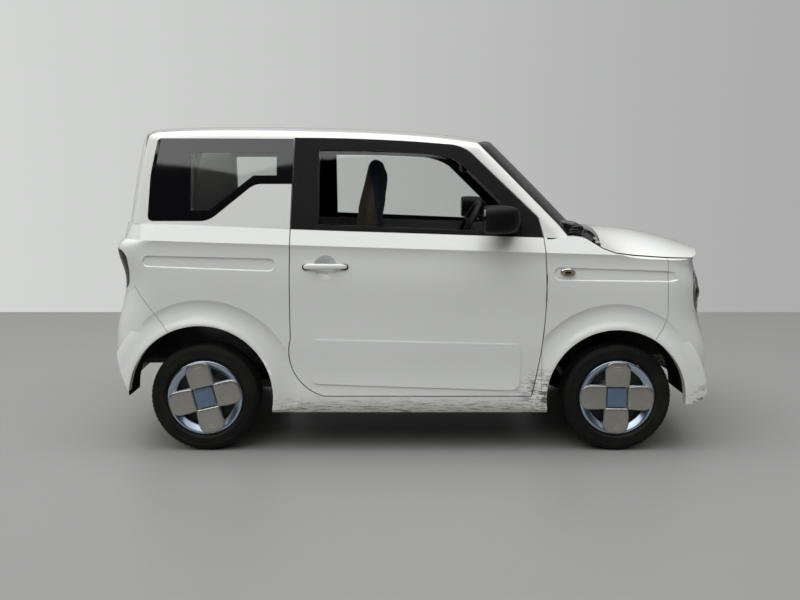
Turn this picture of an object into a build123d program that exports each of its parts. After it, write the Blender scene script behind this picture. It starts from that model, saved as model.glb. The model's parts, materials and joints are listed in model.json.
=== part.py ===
from build123d import *
import math
import os

# A two-door city car, built from its real panels and running gear.
# Millimetres. +X points forward, +Y to the left, +Z up. The origin is on the ground,
# halfway along and halfway across the car.

# ---------------------------------------------------------------- driving sizes
WHEELBASE = 2015.0
FRONT_AXLE_X = 997.0
REAR_AXLE_X = FRONT_AXLE_X - WHEELBASE
TRACK = 1300.0
WHEEL_Y = TRACK / 2

TYRE_RADIUS = 267.0
TYRE_WIDTH = 165.0
BEAD_RADIUS = 165.0
RIM_FLANGE_RADIUS = 185.0

NOSE_X = 1532.5
TAIL_X = -1532.5
ROOF_HEIGHT = 1600.0
ROOF_CROWN_RADIUS = 4500.0
ROOF_EDGE_RADIUS = 50.0
SILL_HEIGHT = 195.0
FLARE_HALF_WIDTH = 761.0
FLARE_REACH = 128.0
FLARE_DISH = 21.0
GROOVE_DEPTH = 6.0
BULGE_RISE = 5.0

SHUT_GAP = 5.0
FIT_GAP = 0.3
DOOR_THICKNESS = 85.0
FRAME_THICKNESS = 40.0
DOOR_OUTER_LAYER = 28.0
LANDING_LAP = 22.0
SIDE_WALL = 104.0
PILLAR_WALL = 48.0
PANEL_WALL = 30.0
GLASS_THICKNESS = 5.0
GLASS_INSET = 6.0

# Plan outlines of the lower body: height at mid-length, rise per millimetre towards the
# tail, nose, tail, half width, corner radius, radius of the nose's bow.
LOWER_LEVELS = [
    (SILL_HEIGHT, 0.0, 1466.0, -1468.0, 726.0, 170.0, 2600.0),
    (300.0, 0.0, 1508.0, -1498.0, 747.0, 180.0, 2600.0),
    (400.0, 0.0015, 1525.0, -1520.0, 744.0, 185.0, 2600.0),
    (490.0, 0.003, NOSE_X - 1.0, TAIL_X + 3.0, 748.0, 190.0, 2550.0),
    (610.0, 0.008, 1521.0, -1520.0, 751.0, 185.0, 1940.0),
    (700.0, 0.013, 1517.0, -1494.0, 752.0, 185.0, 1650.0),
    (860.0, 0.022, 1514.0, -1484.0, 753.0, 180.0, 1550.0),
    (998.4, 0.0308, 1508.0, -1474.0, 750.0, 180.0, 1560.0),
]
# The shoulder band leans in from the crease to the belt line.
BELT_LEVEL = (1070.0, 0.034, 1482.0, -1456.0, 721.0, 170.0, 1560.0)
# Continues the lower body inward above the belt, for the hood's crown.
CROWN_LEVEL = (1150.0, 0.034, 1462.0, -1440.0, 690.0, 160.0, 1560.0)
# Cabin outlines, from inside the shoulders to above the roof.
CABIN_LEVELS = [
    (1040.0, 0.034, 925.0, -1446.0, 727.0, 110.0, 1900.0),
    (1250.0, 0.02, 705.0, -1414.0, 690.0, 110.0, 1900.0),
    (1420.0, 0.01, 525.0, -1384.0, 659.0, 110.0, 1900.0),
    (1660.0, 0.0, 270.0, -1330.0, 612.0, 110.0, 1900.0),
]
TAIL_BOW = 3100.0
# Cross-sections of the hood and fender tops: station, crown height, height at the side.
HOOD_STATIONS = [
    (600.0, 1095.0, 1072.0),
    (760.0, 1084.0, 1046.0),
    (862.0, 1077.0, 1020.0),
    (970.0, 1071.0, 962.0),
    (1100.0, 1063.0, 930.0),
    (1250.0, 1043.0, 922.0),
    (1400.0, 1006.0, 905.0),
    (1560.0, 940.0, 860.0),
]
HOOD_HALF_SPAN = 800.0
BODY_BARREL = 10.0
CABIN_BARREL = 22.0

FRONT_ARCH_CENTRE = (985.0, 270.0)
FRONT_ARCH_RADIUS = 338.0
REAR_ARCH_CENTRE = (-1030.0, 278.0)
REAR_ARCH_RADIUS = 350.0
ARCH_DEPTH_FRONT = 415.0
ARCH_DEPTH_REAR = 520.0
LINER_WALL = 5.0
WHEELHOUSE_MARGIN = 15.0
DOOR_BOTTOM = 282.0
DOOR_FRONT_LOW = 573.0
ROOF_EDGE_HEIGHT = 1440.0
OUTSIDE_Y = 900.0
COWL_X = 640.0
HOOD_WALL = 22.0
BUMPER_WALL = 32.0
FRONT_BUMPER_BOTTOM = 242.0
REAR_BUMPER_BOTTOM = 300.0
TAILGATE_WALL = 55.0
ROOF_HALF_WIDTH = 560.0
ROOF_REAR_X = -1292.0
WHEELHOUSE_Y = 706.0
FLOOR_BOTTOM = 215.0
FLOOR_WALL = 25.0
BOOT_FLOOR = 425.0
FLOOR_STEP_X = (-560.0, -640.0)
FLOOR_REAR_X = -1385.0
FENDER_BOTTOM = 288.0
BULKHEAD_X = 632.0
BULKHEAD_WALL = 14.0
TUB_HALF_WIDTH = 398.0
TUB_DECK = 872.0
TUB_BOTTOM = 420.0
TUB_FRONT_X = 1340.0
TUB_WALL = 5.0
TOWER_RADIUS = 70.0
TOWER_BOTTOM = 640.0

STEER_AXIS_FOOT = (FRONT_AXLE_X, -590.0, 170.0)
STEER_AXIS_HEAD = (FRONT_AXLE_X, -490.0, TOWER_BOTTOM)
STEER_LOCK = 33.0
STEERING_RATIO = 16.0
BALL_PIN_RADIUS = 9.0
PIN_CLEARANCE = 0.05
SPINDLE_RADIUS = 15.0
STRUT_ROD_RADIUS = 11.0
STRUT_TUBE_RADIUS = 22.0

FRAME_LAYER = 15.0
HANDLE_X = -421.0
HANDLE_Y = 752.0
HANDLE_Z = 913.0
CUP_SPHERE_RADIUS = 66.0
CUP_RISE = 30.0
MIRROR_X = 400.0
MIRROR_Y = 845.0
MIRROR_Z = 1150.0

BEAM_HALF_WIDTH = 390.0
STEERING_HUB = (318.0, 370.0, 1036.0)
COLUMN_DIRECTION = (0.872, 0.0, -0.489)
COLUMN_RADIUS = 30.0
STEERING_WHEEL_RADIUS = 185.0

DOOR_HINGE = (639.4, -752.8)
DOOR_PIN_HEIGHTS = (775.0, 850.0)
HINGE_PIN_RADIUS = 2.45
HINGE_PIN_LENGTH = 50.0
TAILGATE_PIN_Y = 15.0
HOOD_REAR = (862.0, 962.0)
COWL_DROP = 15.0
SCREEN_FOOT = 1031.0
COWL_WALL = 12.0
HOOD_HINGE = (893.0, 1020.0)
HOOD_HINGE_Y = 556.0
HOOD_PIN_RADIUS = 4.0
HOOD_ARM_RADIUS = 8.0
HOOD_EAR_WALL = 6.0
TAILGATE_HINGE = (ROOF_REAR_X - SHUT_GAP / 2, 1589.5)


# ---------------------------------------------------------------- body envelope
def block(x_range, y_range, z_range):
    size = [high - low for low, high in (x_range, y_range, z_range)]
    centre = [(high + low) / 2 for low, high in (x_range, y_range, z_range)]
    return Pos(*centre) * Box(*size)


AHEAD_OF_DOOR = block((COWL_X, 2000), (-OUTSIDE_Y, OUTSIDE_Y), (0, 2000))


def bow_sag(radius, half_width):
    return radius - math.sqrt(radius**2 - half_width**2)


def plan_outline(level, barrel, inset):
    """Closed plan outline of one level: bowed ends, barrelled sides, round corners."""
    height, rise, nose, tail, half_width, corner, nose_bow = level
    nose_x = nose - inset
    tail_x = tail + inset
    side = half_width - barrel - inset
    nose_corner = nose_x - bow_sag(nose_bow, side)
    tail_corner = tail_x + bow_sag(TAIL_BOW, side)
    middle = (nose + tail) / 2
    front = ThreePointArc((nose_corner, side), (nose_x, 0), (nose_corner, -side))
    right = ThreePointArc((nose_corner, -side), (middle, -side - barrel), (tail_corner, -side))
    rear = ThreePointArc((tail_corner, -side), (tail_x, 0), (tail_corner, side))
    left = ThreePointArc((tail_corner, side), (middle, side + barrel), (nose_corner, side))
    face = make_face(front + right + rear + left)
    face = fillet(face.vertices(), corner - inset / 2)
    plane = Plane(origin=(0, 0, height), x_dir=(1, 0, -rise), z_dir=(rise, 0, 1))
    return plane * face


def lower_body(inset):
    crease = LOWER_LEVELS[-1]
    body = loft([plan_outline(level, BODY_BARREL, inset) for level in LOWER_LEVELS])
    band = loft([plan_outline(level, BODY_BARREL, inset) for level in (crease, BELT_LEVEL)])
    crown = loft([plan_outline(level, BODY_BARREL, inset) for level in (BELT_LEVEL, CROWN_LEVEL)])
    return body + band + (crown & AHEAD_OF_DOOR)


def hood_section(station, crown, edge, drop):
    top = ThreePointArc((-HOOD_HALF_SPAN, edge - drop), (0, crown - drop), (HOOD_HALF_SPAN, edge - drop))
    sides = Polyline((HOOD_HALF_SPAN, edge - drop), (HOOD_HALF_SPAN, 0), (-HOOD_HALF_SPAN, 0),
                     (-HOOD_HALF_SPAN, edge - drop))
    plane = Plane(origin=(station, 0, 0), x_dir=(0, 1, 0), z_dir=(1, 0, 0))
    return plane * make_face(top + sides)


def hood_block(drop):
    """Everything under the hood and fender-top surface, lowered by drop."""
    return loft([hood_section(*station, drop) for station in HOOD_STATIONS])


def roof_block(drop):
    """Everything under the roof surface: the roof's side profile turned about a low axis."""
    top = ROOF_HEIGHT - drop
    profile = Spline((-1700, top - 52), (-1250, top - 9), (-900, top), (-400, top - 7), (100, top - 34),
                     (420, top - 80), (1000, top - 290))
    under = Polyline((1000, top - 290), (1000, 600), (-1700, 600), (-1700, top - 52))
    axis = Axis((0, 0, top - ROOF_CROWN_RADIUS), (1, 0, 0))
    half_turn = 12
    solid = revolve(Plane.XZ * make_face(profile + under), axis, 2 * half_turn)
    return solid.rotate(axis, -half_turn)


def cabin(inset):
    cell = loft([plan_outline(level, CABIN_BARREL, inset) for level in CABIN_LEVELS])
    return cell & roof_block(inset)


def side_prism(face, inner_y, outer_y):
    """A side-view face (X, Z) drawn out from y = -inner_y to y = -outer_y."""
    return extrude(Plane.XZ.offset(inner_y) * face, amount=outer_y - inner_y)


def through_prism(face):
    return side_prism(face, -OUTSIDE_Y, OUTSIDE_Y)


def end_prism(face, from_x, to_x):
    """A face drawn in end view (Y, Z), drawn out along X."""
    return extrude(Plane.YZ.offset(from_x) * face, amount=to_x - from_x)


def axle_cylinder(radius, centre, inner_y, outer_y):
    """Cylinder about a line across the car, on the right side."""
    middle = -(inner_y + outer_y) / 2
    return Pos(centre[0], middle, centre[1]) * Rot(90, 0, 0) * Cylinder(radius, outer_y - inner_y)


def polygon(*points):
    return make_face(Polyline(*points, close=True))


def rounded(*corners):
    """Closed outline from corner points, each with the radius that rounds it."""
    points = [point for point, radius in corners]
    radii = [radius for point, radius in corners]
    return make_face(FilletPolyline(*points, radius=radii, close=True))


def left_of(piece):
    return mirror(piece, about=Plane.XZ)


def both_sides(piece):
    return Compound(children=[*piece.solids(), *left_of(piece).solids()])


def rounded_cabin(inset):
    """The cabin with its roof edges rounded."""
    cell = cabin(inset)
    edges = [edge for edge in cell.edges() if edge.center().Z > ROOF_EDGE_HEIGHT - inset]
    return fillet(edges, ROOF_EDGE_RADIUS - inset / 2)


# ---------------------------------------------------------------- side-view outlines
def door_outline():
    top_rear = (-566, 1519)
    low_rear = (-591, 560)
    sill_rear = (-430, DOOR_BOTTOM)
    sill_front = (DOOR_FRONT_LOW, DOOR_BOTTOM)
    belt_front = (621, 1058)
    pillar_foot = (598, 1142)
    pillar_head = (300, 1427)
    top_front = (170, 1489)
    rear = ThreePointArc(top_rear, (-589, 1000), low_rear)
    rear_corner = ThreePointArc(low_rear, (-558, 368), sill_rear)
    sill = Line(sill_rear, sill_front)
    front = ThreePointArc(sill_front, (637, 790), belt_front)
    foot = Line(belt_front, pillar_foot)
    pillar = Line(pillar_foot, pillar_head)
    top_corner = ThreePointArc(pillar_head, (243, 1470), top_front)
    top = ThreePointArc(top_front, (-180, 1511), top_rear)
    return make_face(rear + rear_corner + sill + front + foot + pillar + top_corner + top)


def window_outline():
    top_rear = (-454, 1466)
    top_front = (60, 1453)
    corner_end = (236, 1398)
    sail_top = (520, 1124)
    top = ThreePointArc(top_rear, (-200, 1463), top_front)
    corner = ThreePointArc(top_front, (160, 1434), corner_end)
    rest = Polyline(corner_end, sail_top, (520, 1073), (-454, 1112), top_rear)
    return make_face(top + corner + rest)


def quarter_outline():
    """The rear quarter pane, whose lower edge steps up behind the door."""
    return rounded(((-1231, 1522), 26), ((-573, 1519), 5), ((-581, 1304), 5), ((-762, 1304), 95),
                   ((-982, 1128), 120), ((-1276, 1128), 24), ((-1264, 1350), 300))


def quarter_clear():
    """The see-through part of the rear quarter pane."""
    return rounded(((-1070, 1453), 18), ((-655, 1455), 12), ((-655, 1344), 12), ((-768, 1344), 60),
                   ((-978, 1178), 50), ((-1068, 1178), 12))


def screen_region():
    """Everything ahead of the windscreen posts, under the roof's front edge."""
    return polygon((309, 1503), (702, 1107), (752, 1046), (752, 980), (1100, 980), (1100, 1300), (500, 1545))


def above_belt(drop=0.0):
    height, rise = BELT_LEVEL[:2]
    return polygon((-2000, height + 2000 * rise - drop), (2000, height - 2000 * rise - drop),
                   (2000, 2000), (-2000, 2000))


HOOD_SHUT = [(800, 1066), (911, 1000), (970, 979), (1060, 966), (1189, 957), (1348, 948), (1600, 948)]


def hood_region():
    return polygon(*HOOD_SHUT, (1600, 1300), (800, 1300))


def rear_bumper_region(bottom=0.0):
    return polygon((-1700, 745), (-1430, 745), (-1344, 813), (-1178, 592), (-1178, bottom), (-1700, bottom))


def front_bumper_region(bottom=0.0):
    return polygon((1214, 1100), (1219, 954), (1226, 670), (1170, 560), (1170, bottom), (1700, bottom),
                   (1700, 1100))


def tailgate_face():
    """The tailgate in end view, wide at the window and narrow between the lamps."""
    half = [(0, 1750), (560, 1750), (590, 1520), (655, 1130), (648, 1040), (565, 1000), (560, 790),
            (520, 750), (0, 750)]
    other = [(-y, z) for y, z in reversed(half[1:-1])]
    return polygon(*half, *other)


def rear_window_face():
    half = [(0, 1505), (500, 1495), (545, 1440), (590, 1150), (560, 1105), (0, 1100)]
    other = [(-y, z) for y, z in reversed(half[1:-1])]
    return polygon(*half, *other)


# ---------------------------------------------------------------- shared solids
BEHIND_COWL = block((-2000, COWL_X), (-OUTSIDE_Y, OUTSIDE_Y), (0, 1300))
OUTER_LOW = lower_body(0) & (hood_block(0) + BEHIND_COWL)
OUTER_UP = rounded_cabin(0)
OUTER_UP_CLEAR = rounded_cabin(-FIT_GAP)
RIGHT_HALF = block((-2000, 2000), (-OUTSIDE_Y, 0), (0, 2000))


def arch_cut(centre, radius, depth):
    """Arch opening through the skin, and the wider wheelhouse behind it."""
    opening = axle_cylinder(radius, centre, depth, OUTSIDE_Y)
    house = axle_cylinder(radius + WHEELHOUSE_MARGIN, centre, depth, WHEELHOUSE_Y)
    return opening + house


FRONT_ARCH = arch_cut(FRONT_ARCH_CENTRE, FRONT_ARCH_RADIUS, ARCH_DEPTH_FRONT)
REAR_ARCH = arch_cut(REAR_ARCH_CENTRE, REAR_ARCH_RADIUS, ARCH_DEPTH_REAR)
ARCHES = Compound(children=[FRONT_ARCH, REAR_ARCH, left_of(FRONT_ARCH), left_of(REAR_ARCH)])


DOOR_FACE = door_outline()


def arch_ring(centre, profile, bottom):
    """A profile (radius, distance from the car's middle) turned about a wheel arch's axis."""
    ring = revolve(Plane.XY * profile, Axis.Y, 360)
    ring = Pos(centre[0], 0, centre[1]) * mirror(ring, about=Plane.XZ)
    return ring & block((-2000, 2000), (-OUTSIDE_Y, 0), (bottom, 2000))


def lip_points(radius):
    """Points across the flare from its rolled lip to the bottom of the dish."""
    lip = FLARE_HALF_WIDTH
    return [(radius - 1, lip - 1), (radius + 10, lip - 1.5), (radius + 32, lip - 9), (radius + 65, lip - 18)]


def arch_dish(centre, radius):
    """What is cut off round an arch, so that the skin sinks inside a crease ring and returns at the lip."""
    start, finish = lip_points(radius)[0], (radius + FLARE_REACH + 8, FLARE_HALF_WIDTH - 5)
    dish = Spline(*lip_points(radius), (radius + 96, FLARE_HALF_WIDTH - FLARE_DISH),
                  (radius + 118, FLARE_HALF_WIDTH - 16), finish)
    rest = Polyline(finish, (finish[0], OUTSIDE_Y), (start[0], OUTSIDE_Y), start)
    return arch_ring(centre, make_face(dish + rest), 0)


def arch_flare(centre, radius):
    """The flare's metal, from inside the skin out to the dished surface."""
    start, finish = lip_points(radius)[0], (radius + FLARE_REACH - 15, FLARE_HALF_WIDTH - 36)
    bevel = Spline(*lip_points(radius), finish)
    inner = WHEELHOUSE_Y + 4
    rest = Polyline(finish, (finish[0], inner), (start[0], inner), start)
    return arch_ring(centre, make_face(bevel + rest), SILL_HEIGHT + 20)


def pill(start, end, start_radius, end_radius):
    circles = (Pos(*start) * Circle(start_radius)).edges() + (Pos(*end) * Circle(end_radius)).edges()
    return make_hull(circles)


def side_groove(start, end, radius):
    """Shallow groove with round ends and sloping walls, sunk in the side."""
    outer = Plane.XZ.offset(FLARE_HALF_WIDTH) * pill(start, end, radius + 10, radius + 9)
    inner = Plane.XZ.offset(FLARE_HALF_WIDTH - 30) * pill(start, end, radius - 14, radius - 15)
    return loft([outer, inner]) - lower_body(GROOVE_DEPTH)


def door_bulge():
    """Long raised panel low on the door, with sloping edges."""
    outlines = []
    for depth, grow in ((FLARE_HALF_WIDTH - 26, 30), (FLARE_HALF_WIDTH + 4, -30)):
        corners = [(-470, 530), (488, 506), (488, 338), (-470, 372)]
        middle = (9, 436)
        moved = [(x + math.copysign(grow, x - middle[0]), z + math.copysign(grow, z - middle[1])) for x, z in corners]
        face = polygon(*moved)
        outlines.append(Plane.XZ.offset(depth) * fillet(face.vertices(), 42 + grow))
    return loft(outlines) & lower_body(-BULGE_RISE)


FLARES = arch_flare(FRONT_ARCH_CENTRE, FRONT_ARCH_RADIUS) + arch_flare(REAR_ARCH_CENTRE, REAR_ARCH_RADIUS)
FLARES = FLARES - side_prism(DOOR_FACE, 450, OUTSIDE_Y)
DISHES = arch_dish(FRONT_ARCH_CENTRE, FRONT_ARCH_RADIUS) - side_prism(DOOR_FACE, 450, OUTSIDE_Y)
DISHES = DISHES + arch_dish(REAR_ARCH_CENTRE, REAR_ARCH_RADIUS)
GROOVES = side_groove((-1271, 940), (-694, 923), 33) + side_groove((705, 880), (1262, 866), 33)
SIDE_SILHOUETTE = polygon((-1444, 900), (-1444, 560), (-1438, 481), (-1424, 407), (-1403, 353), (-1383, 312),
                          (-1366, 300), (-1366, 200), (1362, 200), (1364, 243), (1410, 262), (1436, 291),
                          (1449, 336), (1453, 412), (1453, 900))
RAISED = (FLARES & side_prism(SIDE_SILHOUETTE, 0, OUTSIDE_Y)) + door_bulge()
SUNK = DISHES + GROOVES
OUTER_LOW = OUTER_LOW + RAISED + left_of(RAISED) - SUNK - left_of(SUNK)
DOOR_GAP_FACE = offset(door_outline(), amount=SHUT_GAP)
LANDING_FACE = offset(door_outline(), amount=-LANDING_LAP)
APERTURE_FACE = offset(door_outline(), amount=SHUT_GAP - LANDING_LAP)


# ---------------------------------------------------------------- doors
def door_layers(envelope, layer_hollow, full_hollow):
    """A door panel: a full-size outer layer and a smaller inner layer that enters the opening."""
    outer = (envelope - layer_hollow) & side_prism(DOOR_FACE, 450, OUTSIDE_Y)
    inner = (layer_hollow - full_hollow) & side_prism(LANDING_FACE, 450, OUTSIDE_Y)
    return outer + inner


def door_panel():
    panel = door_layers(OUTER_LOW, lower_body(DOOR_OUTER_LAYER), lower_body(DOOR_THICKNESS))
    cup = Pos(HANDLE_X, -HANDLE_Y - CUP_RISE, HANDLE_Z) * Rot(90, 0, 0) * Sphere(CUP_SPHERE_RADIUS)
    return panel - cup


def door_frame():
    frame = door_layers(OUTER_UP, rounded_cabin(FRAME_LAYER), rounded_cabin(FRAME_THICKNESS))
    frame = frame & side_prism(above_belt(-FIT_GAP), 450, OUTSIDE_Y)
    return frame - side_prism(window_outline(), 450, OUTSIDE_Y)


def pane(face, inset, thickness):
    """Curved glass that follows the cabin's side, cut to a side-view outline."""
    sheet = rounded_cabin(inset) - rounded_cabin(inset + thickness)
    return sheet & side_prism(face, 450, OUTSIDE_Y)


def door_glass():
    return pane(offset(window_outline(), amount=-FIT_GAP), GLASS_INSET + 6, GLASS_THICKNESS)


def door_mirror():
    """Mirror housing on an arm from the corner of the window."""
    front = Plane.XZ.offset(MIRROR_Y - 75) * fillet(Rectangle(150, 118).vertices(), 38)
    back = Plane.XZ.offset(MIRROR_Y + 75) * fillet(Rectangle(132, 104).vertices(), 42)
    head = Pos(MIRROR_X, 0, MIRROR_Z) * loft([front, back])
    head = fillet(head.edges(), 18)
    inner_end, outer_end = Vector(545, -690, MIRROR_Z - 52), Vector(MIRROR_X + 40, -MIRROR_Y + 40, MIRROR_Z - 36)
    reach = outer_end - inner_end
    arm = Plane(origin=inner_end, z_dir=reach) * Pos(0, 0, reach.length / 2) * Cylinder(15, reach.length)
    return (head + arm) - OUTER_UP_CLEAR


def door_handle():
    bar = Pos(HANDLE_X, -HANDLE_Y - 6.7, HANDLE_Z) * Box(222, 16, 42)
    bar = fillet(bar.edges().filter_by(Axis.Y), 20)
    return fillet(bar.edges(), 6)


# ---------------------------------------------------------------- body shell
def body_side():
    """Sill, pillars, quarter panel and roof rail of the right side, as one pressing."""
    lower = OUTER_LOW - lower_body(SIDE_WALL)
    lower = lower - block((BULKHEAD_X + BULKHEAD_WALL, 2000), (-OUTSIDE_Y, OUTSIDE_Y), (FENDER_BOTTOM, 2000))
    wing_space = block((BULKHEAD_X - 10, 2000), (-OUTSIDE_Y, OUTSIDE_Y), (FENDER_BOTTOM, 2000))
    lower = lower - (wing_space - lower_body(PANEL_WALL + FIT_GAP))
    lower = lower - through_prism(front_bumper_region()) - block((1100, 2000), (-OUTSIDE_Y, OUTSIDE_Y), (0, 2000))
    upper = (OUTER_UP - rounded_cabin(PILLAR_WALL)) & through_prism(above_belt())
    shell = lower + upper
    shell = shell & RIGHT_HALF
    shell = shell - through_prism(rear_bumper_region()) - end_prism(offset(tailgate_face(), amount=SHUT_GAP), -2000, -1100)
    shell = shell - through_prism(screen_region())
    shell = shell - block((ROOF_REAR_X - 200, 700), (-ROOF_HALF_WIDTH, 0), (1300, 2000))
    shell = shell - ARCHES
    outer_cut = side_prism(DOOR_GAP_FACE, 450, OUTSIDE_Y)
    clear_depth = DOOR_OUTER_LAYER + SHUT_GAP
    upper_core = rounded_cabin(FRAME_LAYER + SHUT_GAP) & through_prism(above_belt(-SHUT_GAP - 1))
    core = lower_body(clear_depth) + (rounded_cabin(clear_depth) & through_prism(above_belt())) + upper_core
    shell = shell - (outer_cut - core) - side_prism(APERTURE_FACE, 450, OUTSIDE_Y)
    return shell


def quarter_glass():
    return pane(quarter_outline(), 0, GLASS_THICKNESS)


def finished_body_side():
    shell = body_side()
    shell = shell - side_prism(quarter_clear(), 450, OUTSIDE_Y)
    recess = side_prism(offset(quarter_outline(), amount=FIT_GAP), 450, OUTSIDE_Y)
    return shell - (recess - rounded_cabin(GLASS_THICKNESS + FIT_GAP))


def roof_panel():
    shell = OUTER_UP - rounded_cabin(PILLAR_WALL)
    middle = block((ROOF_REAR_X, 700), (-ROOF_HALF_WIDTH + FIT_GAP, ROOF_HALF_WIDTH - FIT_GAP), (1300, 2000))
    return (shell & middle) - through_prism(screen_region())


def windscreen():
    sheet = OUTER_UP - rounded_cabin(GLASS_THICKNESS)
    glass = sheet & through_prism(offset(screen_region(), amount=-FIT_GAP))
    return glass & block((0, 1100), (-OUTSIDE_Y, OUTSIDE_Y), (SCREEN_FOOT, 2000))


def cowl_panel():
    """Scuttle between the hood's rear edge and the windscreen."""
    top = hood_block(HOOD_WALL + COWL_DROP) - hood_block(HOOD_WALL + COWL_DROP + COWL_WALL)
    panel = top & block((700, 1000), (-OUTSIDE_Y, OUTSIDE_Y), (900, 1200)) & lower_body(PANEL_WALL + FIT_GAP)
    ear = hood_hinge_ear()
    return panel - ahead_of_cowl(-SHUT_GAP) - OUTER_UP_CLEAR + ear + left_of(ear)


def hood_hinge_ear():
    """Ear on the scuttle with the pin that the hood's arm turns on."""
    x, z = HOOD_HINGE
    outer_y = HOOD_HINGE_Y + HOOD_EAR_WALL + FIT_GAP
    ear = block((x - 9, x + 9), (-outer_y - HOOD_EAR_WALL, -outer_y), (z - 40, z + 8))
    pin = axle_cylinder(HOOD_PIN_RADIUS, (x, z), HOOD_HINGE_Y - HOOD_EAR_WALL, outer_y + 2)
    return ear + pin


def hood_arm():
    x, z = HOOD_HINGE
    inner_y = HOOD_HINGE_Y - HOOD_EAR_WALL
    outer_y = HOOD_HINGE_Y + HOOD_EAR_WALL
    eye = axle_cylinder(HOOD_ARM_RADIUS, HOOD_HINGE, inner_y, outer_y)
    bar = block((x, x + 52), (-outer_y, -inner_y), (z - HOOD_ARM_RADIUS, z + 2))
    bore = axle_cylinder(HOOD_PIN_RADIUS + PIN_CLEARANCE, HOOD_HINGE, inner_y - 10, outer_y + 10)
    return eye + bar - bore


def hinge_pins():
    """Slim pins in the shut gaps that the doors and the tailgate turn on."""
    x, y = DOOR_HINGE
    pins = [Pos(x, y, z) * Cylinder(HINGE_PIN_RADIUS, HINGE_PIN_LENGTH) for z in DOOR_PIN_HEIGHTS]
    pins.append(axle_cylinder(HINGE_PIN_RADIUS, TAILGATE_HINGE, TAILGATE_PIN_Y, TAILGATE_PIN_Y + HINGE_PIN_LENGTH))
    return Compound(children=[*pins, *[left_of(pin) for pin in pins]])


def ahead_of_cowl(shift):
    """The space ahead of the hood's rear edge, which bows forward with the windscreen."""
    corner_x, middle_x = HOOD_REAR
    edge = ThreePointArc((corner_x + shift, -OUTSIDE_Y), (middle_x + shift, 0), (corner_x + shift, OUTSIDE_Y))
    front = Polyline((corner_x + shift, OUTSIDE_Y), (2000, OUTSIDE_Y), (2000, -OUTSIDE_Y), (corner_x + shift, -OUTSIDE_Y))
    return extrude(make_face(edge + front), amount=2000)


def bulkhead():
    plate = block((BULKHEAD_X, BULKHEAD_X + BULKHEAD_WALL), (-OUTSIDE_Y, OUTSIDE_Y), (FLOOR_BOTTOM, 1029.5))
    inside = lower_body(SIDE_WALL + FIT_GAP)
    return (plate & inside) - ARCHES


def front_tub():
    """Open box behind the nose with a deck out to the wings and the two strut towers."""
    outer = block((BULKHEAD_X + BULKHEAD_WALL + FIT_GAP, TUB_FRONT_X), (-TUB_HALF_WIDTH, TUB_HALF_WIDTH), (TUB_BOTTOM, TUB_DECK))
    inner = block((BULKHEAD_X + BULKHEAD_WALL + TUB_WALL, TUB_FRONT_X - TUB_WALL),
                  (-TUB_HALF_WIDTH + TUB_WALL, TUB_HALF_WIDTH - TUB_WALL), (TUB_BOTTOM + TUB_WALL, TUB_DECK + 50))
    deck = block((BULKHEAD_X + BULKHEAD_WALL + FIT_GAP, TUB_FRONT_X), (-OUTSIDE_Y, OUTSIDE_Y), (TUB_DECK - TUB_WALL, TUB_DECK))
    deck = deck & lower_body(BUMPER_WALL + FIT_GAP)
    tower = Pos(STEER_AXIS_HEAD[0], STEER_AXIS_HEAD[1], (TOWER_BOTTOM + TUB_DECK) / 2) * Cylinder(TOWER_RADIUS, TUB_DECK - TOWER_BOTTOM)
    return (outer + deck + tower + left_of(tower)) - inner


def fender():
    """Front wing between the door, the hood and the bumper."""
    shell = OUTER_LOW - lower_body(PANEL_WALL)
    region = polygon((600, DOOR_BOTTOM + 6), (1400, DOOR_BOTTOM + 6), (1400, 1300), (600, 1300))
    wing = shell & side_prism(region, 300, OUTSIDE_Y)
    wing = wing - side_prism(DOOR_GAP_FACE, 300, OUTSIDE_Y) - block((0, BULKHEAD_X - 8), (-OUTSIDE_Y, 0), (0, 2000))
    wing = wing - through_prism(offset(hood_region(), amount=SHUT_GAP)) - block((0, 2000), (-560, 560), (0, 2000))
    wing = wing - through_prism(offset(front_bumper_region(), amount=FIT_GAP)) - FRONT_ARCH
    wing = wing & block((0, 2000), (-OUTSIDE_Y, 0), (FENDER_BOTTOM + FIT_GAP, 2000))
    behind = polygon((0, 0), (720, 0), (720, 2000), (0, 2000))
    return wing - OUTER_UP_CLEAR - through_prism(above_belt(FIT_GAP) & behind)


def front_bumper():
    shell = OUTER_LOW - lower_body(BUMPER_WALL)
    nose = shell & through_prism(front_bumper_region(FRONT_BUMPER_BOTTOM))
    nose = nose - through_prism(offset(hood_region(), amount=SHUT_GAP)) - ARCHES
    grille = end_prism(offset(polygon((-380, 330), (380, 330), (410, 440), (-410, 440)), amount=15), 1300, 1700)
    return nose - grille - headlamp_hole(FIT_GAP) - left_of(headlamp_hole(FIT_GAP))


def headlamp_hole(gap):
    outline = Plane.YZ.offset(1200) * Pos(-565, 768) * Ellipse(105 + gap, 104 + gap)
    return extrude(outline, amount=400)


def headlamp():
    return (OUTER_LOW - lower_body(BUMPER_WALL)) & headlamp_hole(0)


def rear_bumper():
    shell = OUTER_LOW - lower_body(BUMPER_WALL)
    tail = shell & through_prism(offset(rear_bumper_region(REAR_BUMPER_BOTTOM), amount=-FIT_GAP))
    return tail - ARCHES - end_prism(offset(tailgate_face(), amount=SHUT_GAP), -2000, -1100)


def tail_lamp_hole(gap):
    side = rounded(((-1700, 994), 1), ((-1384, 994), 60), ((-1372, 890), 300), ((-1384, 787), 60), ((-1700, 787), 1))
    return side_prism(offset(side, amount=gap), 572 - gap, OUTSIDE_Y)


def tail_lamp():
    return (OUTER_LOW - lower_body(40)) & tail_lamp_hole(0)


def hood():
    shell = OUTER_LOW - (lower_body(HOOD_WALL) & hood_block(HOOD_WALL))
    lid = shell & through_prism(hood_region())
    lid = lid & ahead_of_cowl(0)
    return lid + hood_arm() + left_of(hood_arm())


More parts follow.
